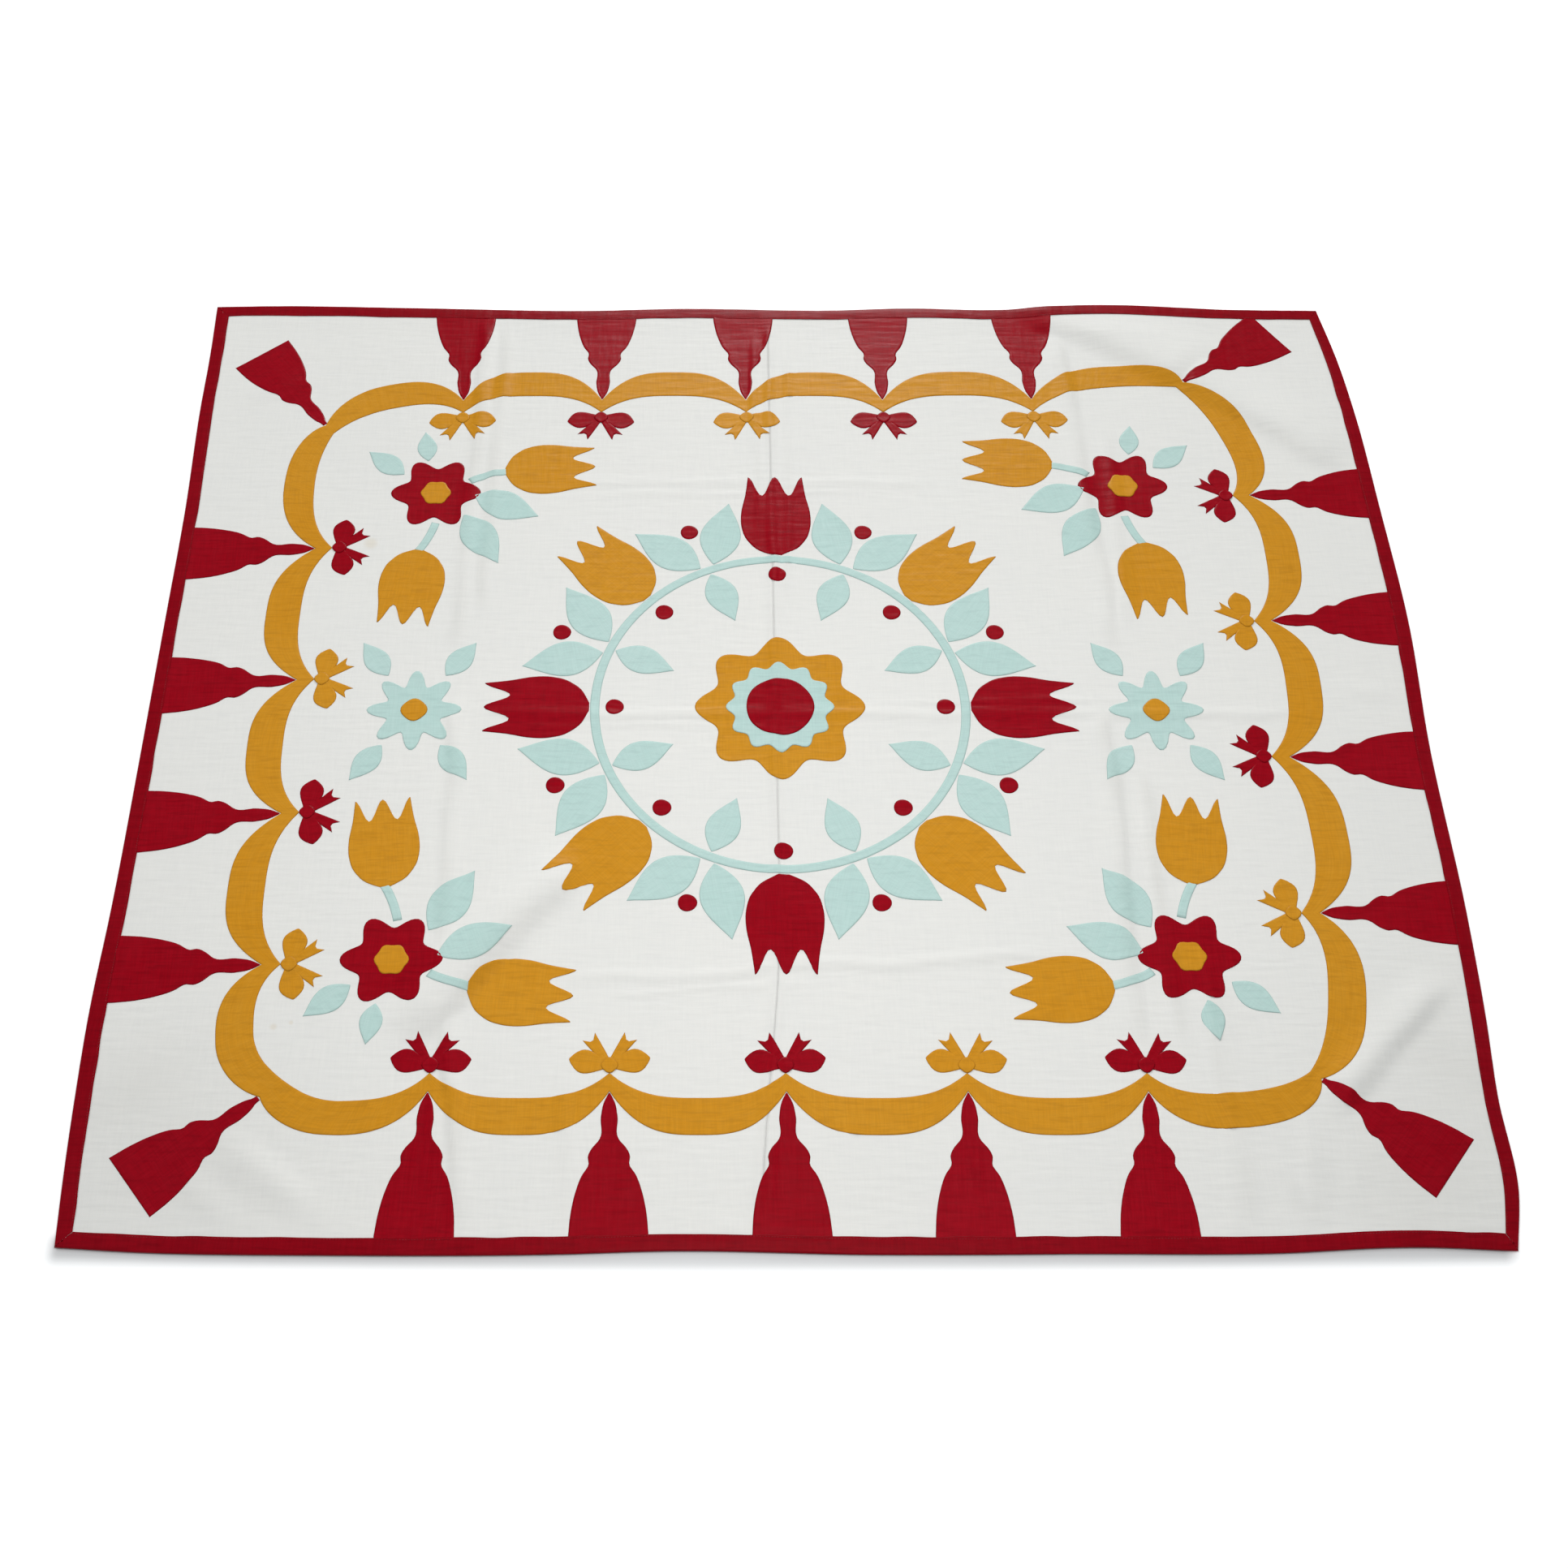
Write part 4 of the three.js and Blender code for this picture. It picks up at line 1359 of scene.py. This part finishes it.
    def build(self, wardrobe: Wardrobe) -> list[bpy.types.Object]:
        """Makes the garland, the tassels and the bows."""
        sew = self.patches.sew
        names = [f"{index + 1:02d}" for index in range(len(JOINTS))]
        swags = tuple(f"swag_{name}" for name in names)
        tassels = join([sew(self.tassel(joint)) for joint in JOINTS])
        made = [
            wardrobe.piece("swag_garland", sew(self.garland()), Cloth.AMBER, swags),
            wardrobe.piece("tassels", tassels, Cloth.RED, tuple(f"tassel_{name}" for name in names)),
        ]
        tied = [joint for joint in JOINTS if not joint["free"]]
        bows = (("bows_red", Cloth.RED, tied[0::2]), ("bows_amber", Cloth.AMBER, tied[1::2]))
        for name, cloth, joints in bows:
            body = join([sew(grid, level) for joint in joints for grid, level in self.bow(joint)])
            made.append(wardrobe.piece(name, body, cloth))
        return made


@dataclass
class Field:
    """The field of the quilt: a rosette in a wreath of tulips and leaves, corner bouquets and side stars."""

    patches: Patches
    centre: tuple[float, float] = (-8.0, 10.0)
    wreath_radius: float = 300.0
    wreath_width: float = 15.0
    tulip_length: float = 150.0
    tulip_tips: float = 0.14
    leaf_length: float = 134.0
    leaf_half: float = 34.0
    stem_width: float = 14.0
    corners: tuple[tuple[float, float], ...] = ((-600, -445), (598, -440), (596, 470), (-596, 455))
    stars: tuple[tuple[float, float], ...] = ((-600, 4), (600, 4))
    star_leaves: tuple[float, ...] = (55, 125, 235, 305)
    star_reach: float = 82.0

    def around(self, radius: float, degrees: float) -> Array:
        """Point of the wreath's plan at a radius and an angle."""
        return np.array(self.centre) + radius * heading(math.radians(degrees))

    def tulip(self, root: Sequence[float], degrees: float, scale: float = 1.0) -> Grid:
        """A tulip that opens into three points."""

        def half(share: Array) -> Array:
            return scale * smooth_column(TULIP_PROFILE, "half", share, "along")

        def points(across: Array) -> Array:
            return self.tulip_tips * np.cos(2 * math.pi * across)

        length = self.tulip_length * scale
        return self.patches.spindle(np.array(root, float), math.radians(degrees), length, half, points)

    def leaf(self, root: Sequence[float], degrees: float, scale: float = 1.0) -> Grid:
        """A leaf, pointed at both ends and fullest below its middle."""

        def half(share: Array) -> Array:
            return scale * (0.5 + self.leaf_half * np.sin(math.pi * np.clip(share, 0, 1) ** 0.85) ** 1.1)

        length = self.leaf_length * scale
        return self.patches.spindle(np.array(root, float), math.radians(degrees), length, half)

    def wreath_band(self) -> Grid:
        """The closed ring of the wreath."""
        angle = np.arange(420) / 420 * 2 * math.pi
        ring = np.stack([np.cos(angle), np.sin(angle)], axis=-1)
        outer = np.array(self.centre) + ring * (self.wreath_radius + self.wreath_width / 2)
        inner = np.array(self.centre) + ring * (self.wreath_radius - self.wreath_width / 2)
        return self.patches.band(outer, inner, self.wreath_width, True)

    def build(self, wardrobe: Wardrobe) -> list[bpy.types.Object]:
        """Makes every patch of the field, joined by kind and cloth."""
        grids = self.wreath_patches()
        for name, rows in self.corner_patches().items():
            grids.setdefault(name, []).extend(rows)
        made = []
        for (name, cloth, nodes), rows in grids.items():
            body = join([self.patches.sew(grid, level) for grid, level in rows])
            made.append(wardrobe.piece(name, body, cloth, nodes))
        return made

    def wreath_patches(self) -> dict[tuple[str, Cloth, tuple[str, ...]], list[tuple[Grid, int]]]:
        """The rosette, the wreath and what grows on it, by piece, with the level of each patch."""
        lobed = self.patches.lobed
        rosette = {
            ("rosette_amber", Cloth.AMBER, ("rosette_petals",)): [(lobed(self.centre, 124, 14, 8), 0)],
            ("rosette_aqua", Cloth.AQUA, ("rosette_ring",)): [(lobed(self.centre, 82, 6, 12), 1)],
            ("rosette_red", Cloth.RED, ("rosette_centre",)): [(lobed(self.centre, 55, 0.6, 5), 2)],
            ("wreath_band", Cloth.AQUA, ("wreath_ring",)): [(self.wreath_band(), 0)],
        }
        radius = self.wreath_radius
        tulips = [(self.tulip(self.around(radius + 9, 45 * k), 45 * k), 0) for k in range(8)]
        leaves = []
        berries = []
        for k in range(8):
            middle = 45 * k + 22.5
            for s in (-1, 1):
                leaves.append((self.leaf(self.around(radius + 9, middle + s * 2.2), middle + s * 34), 0))
            leaves.append((self.leaf(self.around(radius - 9, middle), middle + 180, 0.78), 0))
            berries.append((lobed(self.around(radius + 88, middle), 15, 0.3, 3), 0))
            berries.append((lobed(self.around(radius - 32, 45 * k), 15, 0.3, 3), 0))
        rosette[("tulips_red", Cloth.RED, ())] = tulips[0::2]
        rosette[("tulips_amber", Cloth.AMBER, ())] = tulips[1::2]
        rosette[("leaves_aqua", Cloth.AQUA, ())] = leaves
        rosette[("berries_red", Cloth.RED, ())] = berries
        return rosette

    def corner_patches(self) -> dict[tuple[str, Cloth, tuple[str, ...]], list[tuple[Grid, int]]]:
        """The four bouquets and the two side stars, by piece, with the level of each patch."""
        lobed, stem = self.patches.lobed, self.patches.stem
        flowers, hearts, stems, tulips, leaves = [], [], [], [], []
        for x, y in self.corners:
            sx, sy = math.copysign(1, x), math.copysign(1, y)

            def spot(inward: float, outward: float) -> tuple[float, float]:
                return x - sx * inward, y + sy * outward

            def turned(degrees: float) -> float:
                angle = math.radians(degrees)
                return math.degrees(math.atan2(sy * math.sin(angle), -sx * math.cos(angle)))

            flowers.append((lobed((x, y), 66, 12, 6), 0))
            hearts.append((lobed((x, y), 25, 1.5, 6), 1))
            stems.append((stem((spot(58, 24), spot(84, 42), spot(122, 48)), self.stem_width), 0))
            stems.append((stem((spot(4, -66), spot(-4, -100), spot(-22, -128)), self.stem_width), 0))
            tulips.append((self.tulip(spot(118, 49), turned(4), 0.92), 0))
            tulips.append((self.tulip(spot(-20, -124), turned(-96), 0.92), 0))
            leaves.append((self.leaf(spot(68, -6), turned(-22), 0.9), 0))
            leaves.append((self.leaf(spot(52, -50), turned(-58), 0.9), 0))
            leaves.append((self.leaf(spot(-58, 42), turned(142), 0.62), 0))
            leaves.append((self.leaf(spot(-18, 72), turned(98), 0.5), 0))
        stars = [(lobed(place, 62, 15, 8), 0) for place in self.stars]
        star_hearts = [(lobed(place, 21, 1.0, 4), 1) for place in self.stars]
        for place in self.stars:
            for degrees in self.star_leaves:
                root = np.array(place, float) + heading(math.radians(degrees)) * self.star_reach
                leaves.append((self.leaf(root, degrees, 0.6), 0))
        names = tuple(f"flower_{index:02d}" for index in range(1, 5))
        return {
            ("flowers_red", Cloth.RED, names): flowers,
            ("flower_hearts_amber", Cloth.AMBER, ()): hearts + star_hearts,
            ("stems_aqua", Cloth.AQUA, ()): stems,
            ("tulips_amber", Cloth.AMBER, ()): tulips,
            ("leaves_aqua", Cloth.AQUA, ()): leaves,
            ("stars_aqua", Cloth.AQUA, ()): stars,
        }


@dataclass(frozen=True)
class SoftLight:
    """A square soft light that faces a point.

    Attributes:
        name: its name.
        at: its place, in metres.
        aim: the point that it faces.
        size: its width.
        power: its power in watts.
        colour: its colour.
        shows: whether it shows as gloss on the cloth.
    """

    name: str
    at: tuple[float, float, float]
    aim: tuple[float, float, float]
    size: float
    power: float
    colour: tuple[float, float, float]
    shows: bool

    def build(self) -> None:
        """Hangs the light."""
        data = bpy.data.lights.new(self.name, "AREA")
        data.shape = "SQUARE"
        data.size = self.size
        data.energy = self.power
        data.color = self.colour
        item = bpy.data.objects.new(self.name, data)
        item.location = self.at
        way = Vector(self.aim) - Vector(self.at)
        item.rotation_euler = way.to_track_quat("-Z", "Y").to_euler()
        item.visible_camera = False
        item.visible_glossy = self.shows
        bpy.context.scene.collection.objects.link(item)


@dataclass
class Studio:
    """A plain white floor, soft lights behind, over and at both sides of the quilt, and the camera."""

    floor_half: float = 9.0
    floor_z: float = -0.0003
    sky: float = 0.29
    sky_colour: tuple[float, float, float] = (0.90, 0.97, 1.0)
    lights: tuple[SoftLight, ...] = (
        SoftLight("back", (0.1, 3.6, 1.7), (0.0, 0.0, 0.0), 1.4, 68.0, (1.0, 1.0, 1.0), True),
        SoftLight("overhead", (0.0, -0.6, 2.0), (0.0, -0.6, 0.0), 1.0, 21.5, (1.0, 0.99, 0.99), False),
        SoftLight("left", (-2.8, 0.8, 1.8), (-0.8, 0.3, 0.0), 1.2, 20.5, (1.0, 1.0, 1.0), False),
        SoftLight("right", (2.8, 0.8, 1.8), (0.8, 0.3, 0.0), 1.2, 18.5, (1.0, 1.0, 1.0), False),
    )

    def floor(self) -> bpy.types.Object:
        """A wide level floor."""
        half, z = self.floor_half, self.floor_z
        points = np.array([(-half, -half, z), (half, -half, z), (half, half, z), (-half, half, z)])
        body = Body(points, [np.array([[0, 1, 2, 3]])], points[:, :2], np.full(4, NO_EDGE), np.zeros(4))
        floor = make_object("studio_floor", body, FloorFinish().build())
        return floor

    def camera(self) -> None:
        """The camera, with the frame's width and height equal."""
        data = bpy.data.cameras.new("camera")
        data.sensor_fit = "HORIZONTAL"
        data.sensor_width = CAMERA_SENSOR
        data.lens = CAMERA_LENS
        data.clip_end = 60.0
        item = bpy.data.objects.new("camera", data)
        item.location = tuple(value * MM for value in CAMERA_AT)
        item.rotation_euler = (math.radians(90 - CAMERA_PITCH), 0, 0)
        bpy.context.scene.collection.objects.link(item)
        bpy.context.scene.camera = item

    def build(self) -> None:
        """Sets the stage."""
        self.floor()
        for light in self.lights:
            light.build()
        self.camera()
        world = bpy.data.worlds.new("studio")
        world.use_nodes = True
        world.cycles_visibility.glossy = False
        backdrop = world.node_tree.nodes["Background"]
        backdrop.inputs["Color"].default_value = (*self.sky_colour, 1.0)
        backdrop.inputs["Strength"].default_value = self.sky
        scene = bpy.context.scene
        scene.world = world
        scene.view_settings.view_transform = "Standard"


def middle_of_plan(centre: Sequence[float], skew: float) -> tuple[float, float]:
    """Where the plan's origin lies in the model's frame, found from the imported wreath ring.

    Args:
        centre: the wreath's centre on the plan.
        skew: how far the quilt is askew.

    Returns:
        The shift along X and Y, in millimetres.
    """
    low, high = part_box("wreath_ring")
    x = (low[0] + high[0]) / 2 / MM - centre[0] - skew * centre[1]
    y = (low[1] + high[1]) / 2 / MM - centre[1]
    return x, y


def main() -> None:
    """Builds the quilt piece by piece."""
    logging.basicConfig(level=logging.INFO, format="%(message)s")
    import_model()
    lie = Lie(middle_of_plan(Field.centre, Lie.skew))
    LOG.info("plan lies %.2f, %.2f mm from the frame", *lie.middle)
    wardrobe = Wardrobe()
    patches = Patches(lie)
    widths = Ground(lie).build(wardrobe)
    bound = Binding(lie).build(wardrobe)
    border = Border(lie, patches).build(wardrobe)
    field = Field(patches).build(wardrobe)
    bound + border + field
    Studio().build()


if __name__ == "__main__":
    main()
